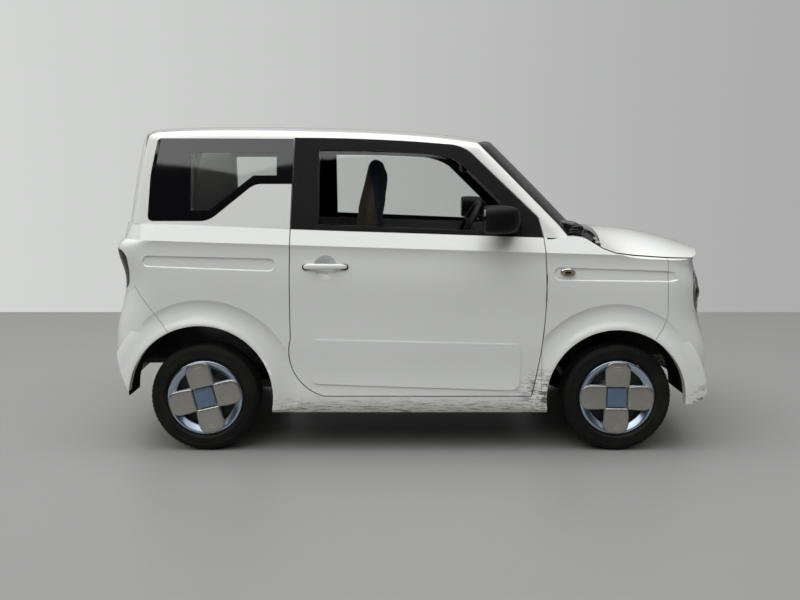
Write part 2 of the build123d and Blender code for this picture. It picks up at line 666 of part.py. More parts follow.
def tailgate():
    lower = OUTER_LOW - lower_body(TAILGATE_WALL)
    upper = (OUTER_UP - rounded_cabin(FRAME_THICKNESS)) & through_prism(above_belt())
    gate = (lower + upper) & end_prism(tailgate_face(), -2000, -1150)
    gate = gate - block((ROOF_REAR_X - SHUT_GAP, 0), (-OUTSIDE_Y, OUTSIDE_Y), (1000, 2000))
    return gate - end_prism(rear_window_face(), -2000, -1000)


def rear_window():
    sheet = rounded_cabin(4) - rounded_cabin(4 + GLASS_THICKNESS)
    return sheet & end_prism(offset(rear_window_face(), amount=-FIT_GAP), -2000, -1150)


def repeater_seat(gap):
    outline = Plane.XZ.offset(700) * Pos(740, 883) * Ellipse(36 + gap, 21 + gap)
    return extrude(outline, amount=100)


def side_repeater():
    """Oval lamp in the front groove, a little proud of the groove's floor."""
    return (lower_body(1) - lower_body(16)) & repeater_seat(0)


def wheel_liner(centre, radius, depth):
    ring = axle_cylinder(radius, centre, depth, WHEELHOUSE_Y) - axle_cylinder(radius - LINER_WALL, centre, 0, OUTSIDE_Y)
    ring = ring & block((-2000, 2000), (-OUTSIDE_Y, 0), (FLOOR_BOTTOM + 60, 2000))
    strut_hole = Pos(STEER_AXIS_HEAD[0], STEER_AXIS_HEAD[1], TOWER_BOTTOM) * Cylinder(TOWER_RADIUS - 10, 200)
    return ring - strut_hole


def wheel_liners():
    margin = WHEELHOUSE_MARGIN - FIT_GAP
    front = wheel_liner(FRONT_ARCH_CENTRE, FRONT_ARCH_RADIUS + margin, ARCH_DEPTH_FRONT + FIT_GAP)
    rear = wheel_liner(REAR_ARCH_CENTRE, REAR_ARCH_RADIUS + margin, ARCH_DEPTH_REAR + FIT_GAP)
    return Compound(children=[front, rear, left_of(front), left_of(rear)])


def floor_pan():
    step_front, step_rear = FLOOR_STEP_X
    low = FLOOR_BOTTOM
    high = BOOT_FLOOR - FLOOR_WALL
    cabin_floor = block((step_front, BULKHEAD_X - FIT_GAP), (-OUTSIDE_Y, OUTSIDE_Y), (low, low + FLOOR_WALL))
    rise = polygon((step_front, low), (step_front, low + FLOOR_WALL), (step_rear, BOOT_FLOOR),
                   (FLOOR_REAR_X, BOOT_FLOOR), (FLOOR_REAR_X, 745), (FLOOR_REAR_X - 20, 745),
                   (FLOOR_REAR_X - 20, high), (step_rear - FLOOR_WALL, high), (step_front - FLOOR_WALL, low))
    boot = side_prism(rise, -ARCH_DEPTH_REAR + 0.5, ARCH_DEPTH_REAR - 0.5)
    pan = (cabin_floor & lower_body(SIDE_WALL + FIT_GAP)) + boot
    return pan - ARCHES


def battery_pack():
    pack = block((-520, 520), (-470, 470), (160, FLOOR_BOTTOM - FIT_GAP))
    return fillet(pack.edges().filter_by(Axis.Z), 40)


def drive_motor():
    motor = block((-1330, -1080), (-190, 190), (230, BOOT_FLOOR - FLOOR_WALL - FIT_GAP))
    return fillet(motor.edges().filter_by(Axis.Y), 30)


# ---------------------------------------------------------------- running gear
def along(start, end, first, last, radius):
    """Cylinder on the line from start towards end, between two heights."""
    direction = Vector(*end) - Vector(*start)
    low = Vector(*start) + direction * ((first - start[2]) / direction.Z)
    high = Vector(*start) + direction * ((last - start[2]) / direction.Z)
    length = (high - low).length
    plane = Plane(origin=low, z_dir=direction.normalized())
    return plane * Pos(0, 0, length / 2) * Cylinder(radius, length)


def front_suspension():
    """Crossmember, lower arms and strut rods; both sides in one piece with the crossmember."""
    foot = STEER_AXIS_FOOT
    beam = block((FRONT_AXLE_X - 125, FRONT_AXLE_X + 75), (-BEAM_HALF_WIDTH, BEAM_HALF_WIDTH), (foot[2] + 20, foot[2] + 60))
    for side in (-300, 300):
        beam = beam + block((FRONT_AXLE_X - 40, FRONT_AXLE_X + 40), (side - 30, side + 30), (foot[2] + 50, TUB_BOTTOM - FIT_GAP))
    arm_face = make_hull(Circle(22).edges() + (Pos(-100, 205) * Circle(16)).edges() + (Pos(50, 205) * Circle(16)).edges())
    arm = extrude(Pos(foot[0], foot[1], foot[2] + 22) * arm_face, amount=14)
    bore = along(foot, STEER_AXIS_HEAD, foot[2], foot[2] + 60, BALL_PIN_RADIUS + PIN_CLEARANCE)
    arm = arm - bore
    return beam + arm + left_of(arm)


def strut_rods():
    rod = along(STEER_AXIS_FOOT, STEER_AXIS_HEAD, 430, TOWER_BOTTOM - FIT_GAP, STRUT_ROD_RADIUS)
    seat = along(STEER_AXIS_FOOT, STEER_AXIS_HEAD, TOWER_BOTTOM - 95, TOWER_BOTTOM - 88, 50)
    rod = rod + seat
    rod = rod & block((0, 2000), (-OUTSIDE_Y, 0), (0, TOWER_BOTTOM - FIT_GAP))
    return both_sides(rod)


def knuckle():
    """Steering knuckle: ball pin, upright, stub axle and strut tube."""
    foot, head = STEER_AXIS_FOOT, STEER_AXIS_HEAD
    pin = along(foot, head, foot[2] + 24, foot[2] + 60, BALL_PIN_RADIUS)
    tube = along(foot, head, 330, 520, STRUT_TUBE_RADIUS) - along(foot, head, 420, 530, STRUT_ROD_RADIUS + PIN_CLEARANCE)
    upright = along(foot, head, foot[2] + 52, 350, 26)
    boss = axle_cylinder(34, (FRONT_AXLE_X, TYRE_RADIUS), 560, 606)
    spindle = axle_cylinder(SPINDLE_RADIUS, (FRONT_AXLE_X, TYRE_RADIUS), 580, 690)
    steering_arm = block((FRONT_AXLE_X - 130, FRONT_AXLE_X), (-588, -566), (236, 256))
    return pin + tube + upright + boss + spindle + steering_arm


def rear_axle():
    beam = axle_cylinder(28, (REAR_AXLE_X, TYRE_RADIUS), -560, 560)
    stubs = axle_cylinder(SPINDLE_RADIUS, (REAR_AXLE_X, TYRE_RADIUS), -690, 690)
    link = block((REAR_AXLE_X, FLOOR_STEP_X[1] + 10), (-400, -360), (247, 287))
    spring = Pos(REAR_AXLE_X, -380, (290 + BOOT_FLOOR - FLOOR_WALL) / 2) * Cylinder(45, BOOT_FLOOR - FLOOR_WALL - 290 - 0.6)
    return beam + stubs + link + left_of(link) + spring + left_of(spring)


def tyre():
    """Hollow road tyre turned about Y, centred on the origin."""
    half = TYRE_WIDTH / 2
    top = TYRE_RADIUS
    outer = [(0, top), (half - 26, top - 3), (half - 12, top - 10), (half - 2, top - 34), (half, top - 52),
             (half - 3, top - 72), (half - 8, RIM_FLANGE_RADIUS + 3), (half - 15.1, RIM_FLANGE_RADIUS + 1),
             (half - 15.1, BEAD_RADIUS + 2.3)]
    inner = [(half - 24, BEAD_RADIUS + 2.3), (half - 22, RIM_FLANGE_RADIUS + 4), (half - 10, top - 52), (half - 22, top - 18), (0, top - 12)]
    right = outer + inner
    profile = right + [(-y, r) for y, r in reversed(right[1:-1])]
    face = Plane.YZ * polygon(*profile)
    return revolve(face, Axis.Y, 360)


def rim():
    """Steel rim: barrel with flanges, dished disc and hub, turned about Y; outboard is -Y."""
    half = TYRE_WIDTH / 2 - 13
    barrel = [(-half, RIM_FLANGE_RADIUS), (-half, BEAD_RADIUS - 2), (half, BEAD_RADIUS - 2), (half, RIM_FLANGE_RADIUS),
              (half - 1.8, RIM_FLANGE_RADIUS), (half - 1.8, BEAD_RADIUS + 2), (-half + 1.8, BEAD_RADIUS + 2), (-half + 1.8, RIM_FLANGE_RADIUS)]
    disc = [(-46, 30), (-46, 80), (-30, 100), (-30, BEAD_RADIUS), (-24, BEAD_RADIUS), (-24, 96), (-38, 76), (-38, 30)]
    hub = [(-50, SPINDLE_RADIUS + PIN_CLEARANCE), (-50, 34), (28, 34), (28, SPINDLE_RADIUS + PIN_CLEARANCE)]
    solid = None
    for profile in (barrel, disc, hub):
        turned = revolve(Plane.YZ * polygon(*profile), Axis.Y, 360)
        solid = turned if solid is None else solid + turned
    return solid


def wheel_cover():
    """Clip-on cover with four openings, outboard is -Y."""
    face = [(-66, 20), (-72, 60), (-78, 120), (-78, 160), (-72, RIM_FLANGE_RADIUS - 4),
            (-69.5, RIM_FLANGE_RADIUS - 4), (-74, 158), (-74, 120), (-68, 60), (-62, 20)]
    cover = revolve(Plane.YZ * polygon(*face), Axis.Y, 360)
    cover = cover + Pos(0, -64, 0) * Rot(90, 0, 0) * Cylinder(24, 4)
    cap = Plane.XZ.offset(62) * fillet(Rectangle(98, 98).vertices(), 16)
    cover = cover + extrude(cap, amount=18)
    gap = make_hull((Pos(86, 0) * Circle(10)).edges() + (Pos(134, -26) * Circle(11)).edges()
                    + (Pos(134, 26) * Circle(11)).edges())
    petal = fillet(Rectangle(118, 122).vertices(), 34)
    for turn in range(4):
        lobe = Rot(0, 90 * turn, 0) * extrude(Plane.XZ.offset(71) * Pos(0, 113) * petal, amount=12)
        cover = cover + lobe
    for turn in range(4):
        cover = cover - Rot(0, 45 + 90 * turn, 0) * extrude(Plane.XZ.offset(20) * gap, amount=100)
    return cover


# ---------------------------------------------------------------- interior
def seat():
    """Front seat cushion and one-piece backrest."""
    cushion = fillet(block((-270, 200), (-240, 240), (0, 130)).edges(), 45)
    rear = Spline((-318, 70), (-350, 380), (-336, 640), (-305, 810), (-262, 842))
    front = Spline((-206, 815), (-200, 740), (-226, 650), (-228, 380), (-165, 90))
    side = make_face(rear + Line((-262, 842), (-206, 815)) + front + Line((-165, 90), (-318, 70)))
    back = extrude(Plane.XZ.offset(-240) * side, amount=480)
    shape = rounded(((-225, 60), 40), ((-235, 500), 90), ((-140, 700), 90), ((-130, 860), 70), ((130, 860), 70),
                    ((140, 700), 90), ((235, 500), 90), ((225, 60), 40))
    return cushion + (back & end_prism(shape, -500, 0))


def front_seats():
    right = Pos(60, -330, 560) * seat()
    return both_sides(right)


def seat_frames():
    base = block((-230, 200), (-520, -140), (FLOOR_BOTTOM + FLOOR_WALL + FIT_GAP, 560 - FIT_GAP))
    return both_sides(fillet(base.edges().filter_by(Axis.Z), 40))


def column_axis(first, last, radius):
    """Cylinder on the steering column's axis; distances run forward from the wheel's hub."""
    plane = Plane(origin=Vector(*STEERING_HUB) + Vector(*COLUMN_DIRECTION) * first, z_dir=COLUMN_DIRECTION)
    return plane * Pos(0, 0, (last - first) / 2) * Cylinder(radius, last - first)


def dashboard():
    profile = polygon((631, 700), (631, 1030), (900, 1030), (900, 1044), (520, 1052), (400, 1000), (380, 900),
                      (430, 780), (520, 700))
    dash = through_prism(profile)
    low = dash & lower_body(SIDE_WALL + 6) & block((0, 631), (-590, 590), (0, 1052))
    shelf = dash & cabin(GLASS_THICKNESS + 3) & block((500, 1000), (-560, 560), (1026, 2000))
    return (low + shelf) - column_axis(0, 400, COLUMN_RADIUS + FIT_GAP)


def steering_column():
    return column_axis(24, 190, COLUMN_RADIUS)


def steering_wheel():
    """Rim, hub and three spokes, turned and laid on the column's axis."""
    plane = Plane(origin=STEERING_HUB, x_dir=(0, 1, 0), z_dir=COLUMN_DIRECTION)
    ring = Torus(STEERING_WHEEL_RADIUS - 15, 15)
    hub = Pos(0, 0, 5) * Cylinder(48, 36)
    wheel = ring + hub
    for turn in (0, 180, 90):
        spoke = Rot(0, 0, turn) * Pos((STEERING_WHEEL_RADIUS - 15) / 2, 0, 0) * Box(STEERING_WHEEL_RADIUS - 15, 34, 12)
        wheel = wheel + spoke
    return plane * wheel


def rear_bench():
    cushion = fillet(block((-880, -470), (-480, 480), (BOOT_FLOOR + FIT_GAP, 560)).edges(), 30)
    back = polygon((-880, 560.6), (-760, 560.6), (-860, 980), (-930, 1000), (-960, 980))
    back = fillet(extrude(Plane.XZ.offset(-480) * back, amount=960).edges().filter_by(Axis.Y), 14)
    return cushion + back


# ---------------------------------------------------------------- all nodes
def placed_wheel(piece, axle_x, side):
    """A wheel piece on its axle; side is -1 for the right of the car."""
    turned = Pos(axle_x, -WHEEL_Y, TYRE_RADIUS) * piece
    return turned if side < 0 else left_of(turned)


def all_nodes():
    nodes = {}
    paired = {
        "body_side": finished_body_side, "fender": fender, "door": door_panel, "door_frame": door_frame,
        "door_glass": door_glass, "door_mirror": door_mirror, "door_handle": door_handle, "knuckle": knuckle,
    }
    for name, make in paired.items():
        piece = make()
        if name == "fender":
            piece = piece - repeater_seat(FIT_GAP)
        nodes[name + "_right"] = piece
        nodes[name + "_left"] = left_of(piece)
    shared = {
        "quarter_glass": quarter_glass, "headlamps": headlamp, "tail_lamps": tail_lamp,
        "side_repeaters": side_repeater,
    }
    for name, make in shared.items():
        nodes[name] = both_sides(make())
    lamps = both_sides(tail_lamp_hole(FIT_GAP))
    for side in ("right", "left"):
        nodes["body_side_" + side] = nodes["body_side_" + side] - lamps
    single = {
        "roof_panel": roof_panel, "windscreen": windscreen, "cowl_panel": cowl_panel, "bulkhead": bulkhead,
        "front_tub": front_tub, "front_bumper": front_bumper, "rear_bumper": rear_bumper, "hood": hood,
        "tailgate": tailgate, "rear_window": rear_window, "wheel_liners": wheel_liners, "floor_pan": floor_pan,
        "battery_pack": battery_pack, "drive_motor": drive_motor, "front_suspension": front_suspension,
        "strut_rods": strut_rods, "rear_axle": rear_axle, "front_seats": front_seats, "seat_frames": seat_frames,
        "rear_bench": rear_bench, "dashboard": dashboard, "steering_column": steering_column,
        "steering_wheel": steering_wheel, "hinge_pins": hinge_pins,
    }
    for name, make in single.items():
        nodes[name] = make()
    nodes["rear_bumper"] = nodes["rear_bumper"] - lamps
    for piece_name, make in {"tyre": tyre, "rim": rim, "wheel_cover": wheel_cover}.items():
        piece = make()
        for axle, axle_x in {"front": FRONT_AXLE_X, "rear": REAR_AXLE_X}.items():
            nodes[f"{piece_name}_{axle}_right"] = placed_wheel(piece, axle_x, -1)
            nodes[f"{piece_name}_{axle}_left"] = placed_wheel(piece, axle_x, 1)
    return nodes


def write_all():
    os.makedirs("parts", exist_ok=True)
    for name, shape in all_nodes().items():
        export_step(shape, f"parts/{name}.step")


write_all()
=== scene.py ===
"""Looks of the two-door city car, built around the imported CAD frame.

Metres, +X forward, +Y to the car's left, +Z up. The camera stands on the car's right.
"""
import json
import math

import bmesh
import bpy
import numpy as np
from mathutils import Matrix, Vector
from mathutils.bvhtree import BVHTree


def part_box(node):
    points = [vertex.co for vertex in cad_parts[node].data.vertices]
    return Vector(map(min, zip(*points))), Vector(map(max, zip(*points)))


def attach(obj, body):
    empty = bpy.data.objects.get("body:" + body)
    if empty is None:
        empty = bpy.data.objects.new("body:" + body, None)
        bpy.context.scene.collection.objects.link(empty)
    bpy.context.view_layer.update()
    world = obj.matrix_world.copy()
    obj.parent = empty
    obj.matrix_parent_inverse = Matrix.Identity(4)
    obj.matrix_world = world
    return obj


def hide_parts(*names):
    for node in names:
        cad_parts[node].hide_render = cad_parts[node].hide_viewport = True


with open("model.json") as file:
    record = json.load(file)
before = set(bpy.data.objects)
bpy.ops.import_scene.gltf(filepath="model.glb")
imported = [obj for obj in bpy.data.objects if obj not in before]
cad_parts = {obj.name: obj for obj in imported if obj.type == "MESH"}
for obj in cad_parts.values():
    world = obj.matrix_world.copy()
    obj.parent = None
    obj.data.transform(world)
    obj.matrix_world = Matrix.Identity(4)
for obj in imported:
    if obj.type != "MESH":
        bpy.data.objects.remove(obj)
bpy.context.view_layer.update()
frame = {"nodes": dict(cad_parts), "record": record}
NODES = frame["nodes"]
SLOT_OF = {part["node"]: part["material_slot"] for part in frame["record"]["subparts"]}
SIDES = ("right", "left")
SCENE = bpy.context.scene


# ---------------------------------------------------------------- material helpers
class Nodes:
    """Short calls for building a material's node tree."""

    def __init__(self, name, world=None):
        self.material = world or bpy.data.materials.new(name)
        self.material.use_nodes = True
        self.tree = self.material.node_tree
        self.shader = self.tree.nodes["Background" if world else "Principled BSDF"]
        self.output = self.tree.nodes["World Output" if world else "Material Output"]
        self.coords = self.add("TexCoord").outputs["Generated" if world else "Object"]
        split = self.add("SeparateXYZ", Vector=self.coords)
        self.x, self.y, self.z = split.outputs

    def add(self, kind, **inputs):
        node = self.tree.nodes.new("ShaderNode" + kind)
        for key, value in inputs.items():
            self.set(node, key.replace("_", " "), value)
        return node

    def set(self, node, key, value):
        socket = node.inputs[key]
        if isinstance(value, bpy.types.NodeSocket):
            self.tree.links.new(value, socket)
        elif hasattr(value, "__len__") and len(value) == 3 and len(socket.default_value) == 4:
            socket.default_value = (*value, 1)
        else:
            socket.default_value = value

    def math(self, operation, first, second=0.0):
        node = self.add("Math")
        node.operation = operation
        self.set(node, 0, first)
        self.set(node, 1, second)
        return node.outputs[0]

    def plus(self, first, second):
        return self.math("ADD", first, second)

    def times(self, first, second):
        return self.math("MULTIPLY", first, second)

    def minus(self, first, second):
        return self.math("SUBTRACT", first, second)

    def length(self, x, y):
        squares = self.times(x, x), self.times(y, y)
        return self.math("SQRT", self.plus(*squares))

    def noise(self, scale, detail=3.0, stretch=(1, 1, 1), roughness=0.5):
        mapping = self.add("Mapping", Vector=self.coords, Scale=stretch)
        node = self.add("TexNoise", Vector=mapping.outputs[0], Scale=scale, Detail=detail,
                        Roughness=roughness)
        return node.outputs["Fac"]

    def weave(self, *directions):
        """Threads of two directions crossing."""
        waves = []
        for direction in directions:
            wave = self.add("TexWave", Vector=self.coords, Scale=620.0, Distortion=0.6, Detail=1.0)
            wave.bands_direction = direction
            waves.append(wave.outputs["Fac"])
        return self.times(*waves)

    def ramp(self, value, low, high, to_low=0.0, to_high=1.0):
        """Smooth step of value from low to high."""
        node = self.add("MapRange")
        node.interpolation_type = "SMOOTHSTEP"
        for key, number in zip(("Value", "From Min", "From Max", "To Min", "To Max"),
                               (value, low, high, to_low, to_high)):
            self.set(node, key, number)
        return node.outputs[0]

    def mix(self, factor, first, second):
        node = self.add("Mix")
        node.data_type = "RGBA"
        for socket, value in zip((node.inputs[0], node.inputs[6], node.inputs[7]), (factor, first, second)):
            if isinstance(value, bpy.types.NodeSocket):
                self.tree.links.new(value, socket)
            else:
                socket.default_value = (*value, 1) if hasattr(value, "__len__") else value
        return node.outputs[2]

    def bump(self, height, distance, strength, normal=None):
        node = self.add("Bump", Height=height, Distance=distance, Strength=strength)
        if normal is not None:
            self.set(node, "Normal", normal)
        return node.outputs[0]

    def finish(self, **values):
        for key, value in values.items():
            self.set(self.shader, key.replace("_", " "), value)
        return self.material


def near_line(n, points, half_width):
    """1 within half_width of a side-view polyline of (x, z) points, 0 beyond it."""
    nearest = None
    for (x0, z0), (x1, z1) in zip(points, points[1:]):
        length = math.hypot(x1 - x0, z1 - z0)
        ux, uz = (x1 - x0) / length, (z1 - z0) / length
        dx, dz = n.minus(n.x, x0), n.minus(n.z, z0)
        along = n.plus(n.times(dx, ux), n.times(dz, uz))
        inside = n.math("MINIMUM", n.math("MAXIMUM", along, 0.0), length)
        away = n.length(n.minus(dx, n.times(inside, ux)), n.minus(dz, n.times(inside, uz)))
        nearest = away if nearest is None else n.math("MINIMUM", nearest, away)
    return n.ramp(nearest, half_width, half_width * 0.4)


FRONT_SEAM = [(1.219, 0.952), (1.226, 0.670), (1.206, 0.612), (1.170, 0.566)]
REAR_SEAM = [(-1.344, 0.813), (-1.178, 0.592)]
SEAM_HALF_WIDTH = 0.62  # the painted seam shade is drawn only this far out from the middle
SCUFF_AT = (0.63, 0.29)  # x and z of the scuffed foot of the front wheel arch


def paint_material(name, color, plastic=False):
    """White gloss paint with a faint orange peel, road dirt low on the car, and painted shade along the panel
    seams near the front and rear.
    """
    n = Nodes(name)
    low = n.ramp(n.z, 0.36, 0.21)
    grime = n.noise(32.0, 8.0, (0.45, 0.45, 3.0), 0.72)
    film = n.times(n.times(low, n.ramp(grime, 0.40, 0.74)), 0.40)
    streak = n.noise(55.0, 9.0, (0.22, 0.22, 2.2), 0.75)
    sill = n.times(n.ramp(n.z, 0.290, 0.222), n.ramp(streak, 0.49, 0.60))
    distance = n.length(n.minus(n.x, SCUFF_AT[0]), n.minus(n.z, SCUFF_AT[1]))
    scratches = n.noise(58.0, 9.0, (0.45, 0.45, 1.9), 0.75)
    scuff = n.times(n.ramp(distance, 0.17, 0.03), n.ramp(scratches, 0.47, 0.56))
    corner = n.times(n.ramp(n.math("ABSOLUTE", n.minus(n.x, -0.02)), 1.30, 1.42), n.ramp(n.z, 0.36, 0.27))
    corner = n.times(corner, n.ramp(n.noise(22.0, 6.0, (1, 1, 1.5), 0.65), 0.46, 0.60))
    dirt = n.math("MAXIMUM", n.math("MAXIMUM", film, n.times(sill, 0.85)),
                  n.math("MAXIMUM", n.times(scuff, 0.95), n.times(corner, 0.8)))
    tone = n.mix(n.noise(2.2, 2.0), color, tuple(c * 0.965 for c in color))
    shade = n.mix(n.ramp(n.noise(70.0, 5.0), 0.35, 0.6), (0.15, 0.105, 0.07), (0.020, 0.018, 0.016))
    base = n.mix(dirt, tone, shade)
    # Painted shade: dark lines along the front and rear panel seams, where the shade inside the gaps falls.
    seams = n.math("MAXIMUM", near_line(n, FRONT_SEAM, 0.0016), near_line(n, REAR_SEAM, 0.0016))
    outside = n.math("GREATER_THAN", n.math("ABSOLUTE", n.y), SEAM_HALF_WIDTH)
    base = n.mix(n.times(seams, outside), base, (0.10, 0.10, 0.10))
    rough = n.plus(n.times(dirt, 0.45), 0.34 if plastic else 0.26)
    peel = n.bump(n.noise(420.0, 2.0), 0.0004, 0.10)
    peel = n.bump(dirt, 0.0004, 0.4, peel)
    return n.finish(Base_Color=base, Roughness=rough, Normal=peel, Coat_Weight=0.75, Coat_Roughness=0.05,
                    Specular_IOR_Level=0.5)


def grained_plastic(name, color, roughness=0.5, grain=900.0, depth=0.0003, dust=0.0):
    """Moulded plastic with a leather-like grain, uneven sheen and a little dust low down."""
    n = Nodes(name)
    cells = n.add("TexVoronoi", Vector=n.coords, Scale=grain)
    patchy = n.noise(7.0, 4.0)
    base = n.mix(patchy, color, tuple(min(1.0, c * 1.35 + 0.003) for c in color))
    if dust:
        powder = n.times(n.ramp(n.z, 0.55, 0.2), n.ramp(n.noise(18.0, 6.0), 0.4, 0.75))
        base = n.mix(n.times(powder, dust), base, (0.22, 0.20, 0.17))
    rough = n.ramp(patchy, 0.2, 0.8, roughness - 0.07, roughness + 0.08)
    return n.finish(Base_Color=base, Roughness=rough, Specular_IOR_Level=0.16,
                    Normal=n.bump(cells.outputs["Distance"], depth, 0.35))


def smooth_gloss(name, color, roughness=0.12):
    """Gloss black plastic with faint swirls."""
    n = Nodes(name)
    swirl = n.noise(60.0, 6.0, roughness=0.6)
    base = n.mix(n.noise(9.0), color, tuple(c * 1.4 + 0.002 for c in color))
    return n.finish(Base_Color=base, Roughness=n.ramp(swirl, 0.3, 0.8, roughness, roughness + 0.08),
                    Normal=n.bump(swirl, 0.0002, 0.05), Coat_Weight=0.5, Coat_Roughness=0.03)


def metal(name, color, roughness, metallic):
    """Painted or bare metal with fine grain."""
    n = Nodes(name)
    grain = n.noise(260.0)
    patchy = n.noise(8.0, 5.0)
    base = n.mix(patchy, color, tuple(c * 0.82 for c in color))
    rough = n.ramp(patchy, 0.25, 0.8, roughness - 0.06, roughness + 0.10)
    return n.finish(Base_Color=base, Roughness=rough, Metallic=metallic,
                    Normal=n.bump(grain, 0.0002, 0.15))


def chassis_metal(name, color):
    """Black underbody coating with dust and rust freckles."""
    n = Nodes(name)
    speck = n.ramp(n.noise(55.0, 7.0, roughness=0.7), 0.58, 0.70)
    dust = n.ramp(n.noise(6.0, 6.0), 0.35, 0.8)
    base = n.mix(n.times(dust, 0.5), color, (0.17, 0.155, 0.13))
    base = n.mix(n.times(speck, 0.55), base, (0.20, 0.085, 0.035))
    return n.finish(Base_Color=base, Roughness=n.ramp(dust, 0, 1, 0.5, 0.85), Metallic=0.1,
                    Normal=n.bump(n.noise(140.0, 5.0), 0.0012, 0.4))


def glass_material(name, tint, mask=None):
    """Thin automotive glass: tinted see-through with a Fresnel reflection and a hint of dust."""
    n = Nodes(name)
    clear = n.add("BsdfTransparent", Color=tint)
    gloss = n.add("BsdfGlossy", Color=(1, 1, 1), Roughness=0.015)
    fresnel = n.add("Fresnel", IOR=1.5)
    body = n.add("MixShader")
    n.set(body, 0, fresnel.outputs[0])
    n.set(body, 1, clear.outputs[0])
    n.set(body, 2, gloss.outputs[0])
    haze = n.ramp(n.noise(4.0, 5.0), 0.45, 0.85, 0.0, 0.012)
    dusty = n.add("MixShader")
    powder = n.add("BsdfDiffuse", Color=(0.6, 0.6, 0.58))
    n.set(dusty, 0, haze)
    n.set(dusty, 1, body.outputs[0])
    n.set(dusty, 2, powder.outputs[0])
    result = dusty.outputs[0]
    if mask is not None:
        n.finish(Base_Color=n.mix(n.noise(3.0), (0.004, 0.004, 0.005), (0.007, 0.007, 0.008)),
                 Roughness=n.ramp(n.noise(9.0), 0.3, 0.7, 0.02, 0.04), IOR=1.75)
        shown = n.add("MixShader")
        n.set(shown, 0, mask(n))
        n.set(shown, 1, n.shader.outputs[0])
        n.set(shown, 2, result)
        result = shown.outputs[0]
    n.tree.links.new(result, n.output.inputs["Surface"])
    return n.material


def quarter_mask(n):
    """1 inside the see-through part of the rear quarter pane, 0 on its black border."""
    soft = 0.0015
    slope = n.plus(n.times(n.plus(n.x, 0.978), 0.79), 1.178)
    floor_line = n.math("MAXIMUM", n.math("MINIMUM", slope, 1.344), 1.178)
    inside = n.ramp(n.minus(n.z, floor_line), 0, soft)
    rear, front, top = -1.070, -0.655, 1.454
    for value, low, high in ((n.x, rear, rear + soft), (n.x, front, front - soft), (n.z, top, top - soft)):
        inside = n.times(inside, n.ramp(value, low, high))
    return inside


def rubber_material(name):
    """Tyre rubber: near black, dusty on the tread, with fine moulded texture."""
    n = Nodes(name)
    dust = n.ramp(n.noise(9.0, 6.0, roughness=0.65), 0.38, 0.8)
    base = n.mix(n.times(dust, 0.30), (0.0065, 0.0065, 0.0065), (0.050, 0.045, 0.038))
    return n.finish(Base_Color=base, Roughness=n.ramp(dust, 0, 1, 0.58, 0.85),
                    Normal=n.bump(n.noise(350.0, 4.0), 0.0006, 0.5), Specular_IOR_Level=0.14)


def fabric_material(name, color, thread):
    """Woven cloth from two crossed wave patterns, with soft sheen and faded patches."""
    n = Nodes(name)
    weave = n.weave("X", "Z")
    fade = n.noise(6.0, 4.0)
    faded = tuple(min(1, c * 1.5) for c in thread)
    base = n.mix(n.times(n.ramp(fade, 0.3, 0.8), 0.25), n.mix(weave, color, thread), faded)
    return n.finish(Base_Color=base, Roughness=0.88, Sheen_Weight=0.35, Sheen_Roughness=0.5,
                    Normal=n.bump(weave, 0.0009, 0.6))


def leather_material(name, color):
    n = Nodes(name)
    cells = n.add("TexVoronoi", Vector=n.coords, Scale=420.0)
    cells.feature = "DISTANCE_TO_EDGE"
    folds = n.noise(26.0, 5.0)
    base = n.mix(n.noise(5.0, 4.0), color, tuple(c * 0.72 for c in color))
    height = n.plus(n.ramp(cells.outputs["Distance"], 0.0, 0.08), n.times(folds, 0.8))
    return n.finish(Base_Color=base, Roughness=n.ramp(folds, 0.3, 0.7, 0.42, 0.56),
                    Normal=n.bump(height, 0.0006, 0.45), Sheen_Weight=0.1)


def seat_back_material(name):
    """Backrest: dark blue cloth in front, tan leathercloth on the sides and the rear."""
    n = Nodes(name)
    weave = n.weave("Y", "Z")
    cloth = n.mix(weave, (0.012, 0.022, 0.045), (0.035, 0.06, 0.11))
    cells = n.add("TexVoronoi", Vector=n.coords, Scale=420.0)
    leather = n.mix(n.noise(5.0, 4.0), (0.095, 0.058, 0.034), (0.065, 0.042, 0.026))
    above = n.math("MAXIMUM", n.minus(n.z, 1.149), -0.06)
    front = n.ramp(n.plus(n.x, n.times(above, 0.143)), -0.182, -0.179)
    base = n.mix(front, leather, cloth)
    height = n.plus(n.times(front, weave),
                    n.times(n.minus(1.0, front), cells.outputs["Distance"]))
    return n.finish(Base_Color=base, Roughness=n.ramp(front, 0, 1, 0.5, 0.88), Sheen_Weight=0.15,
                    Normal=n.bump(height, 0.0008, 0.5))


def lamp_material(name, color, roughness, ribs=0.0):
    """Moulded lamp lens with fine ribs inside."""
    n = Nodes(name)
    wave = n.add("TexWave", Vector=n.coords, Scale=90.0)
    wave.bands_direction = "Z"
    lines = wave.outputs["Fac"]
    base = n.mix(n.times(lines, ribs), color, tuple(min(1.0, c * 2.2 + 0.01) for c in color))
    return n.finish(Base_Color=base, Roughness=roughness, Specular_IOR_Level=0.4,
                    Normal=n.bump(lines, 0.0006, ribs * 0.3))


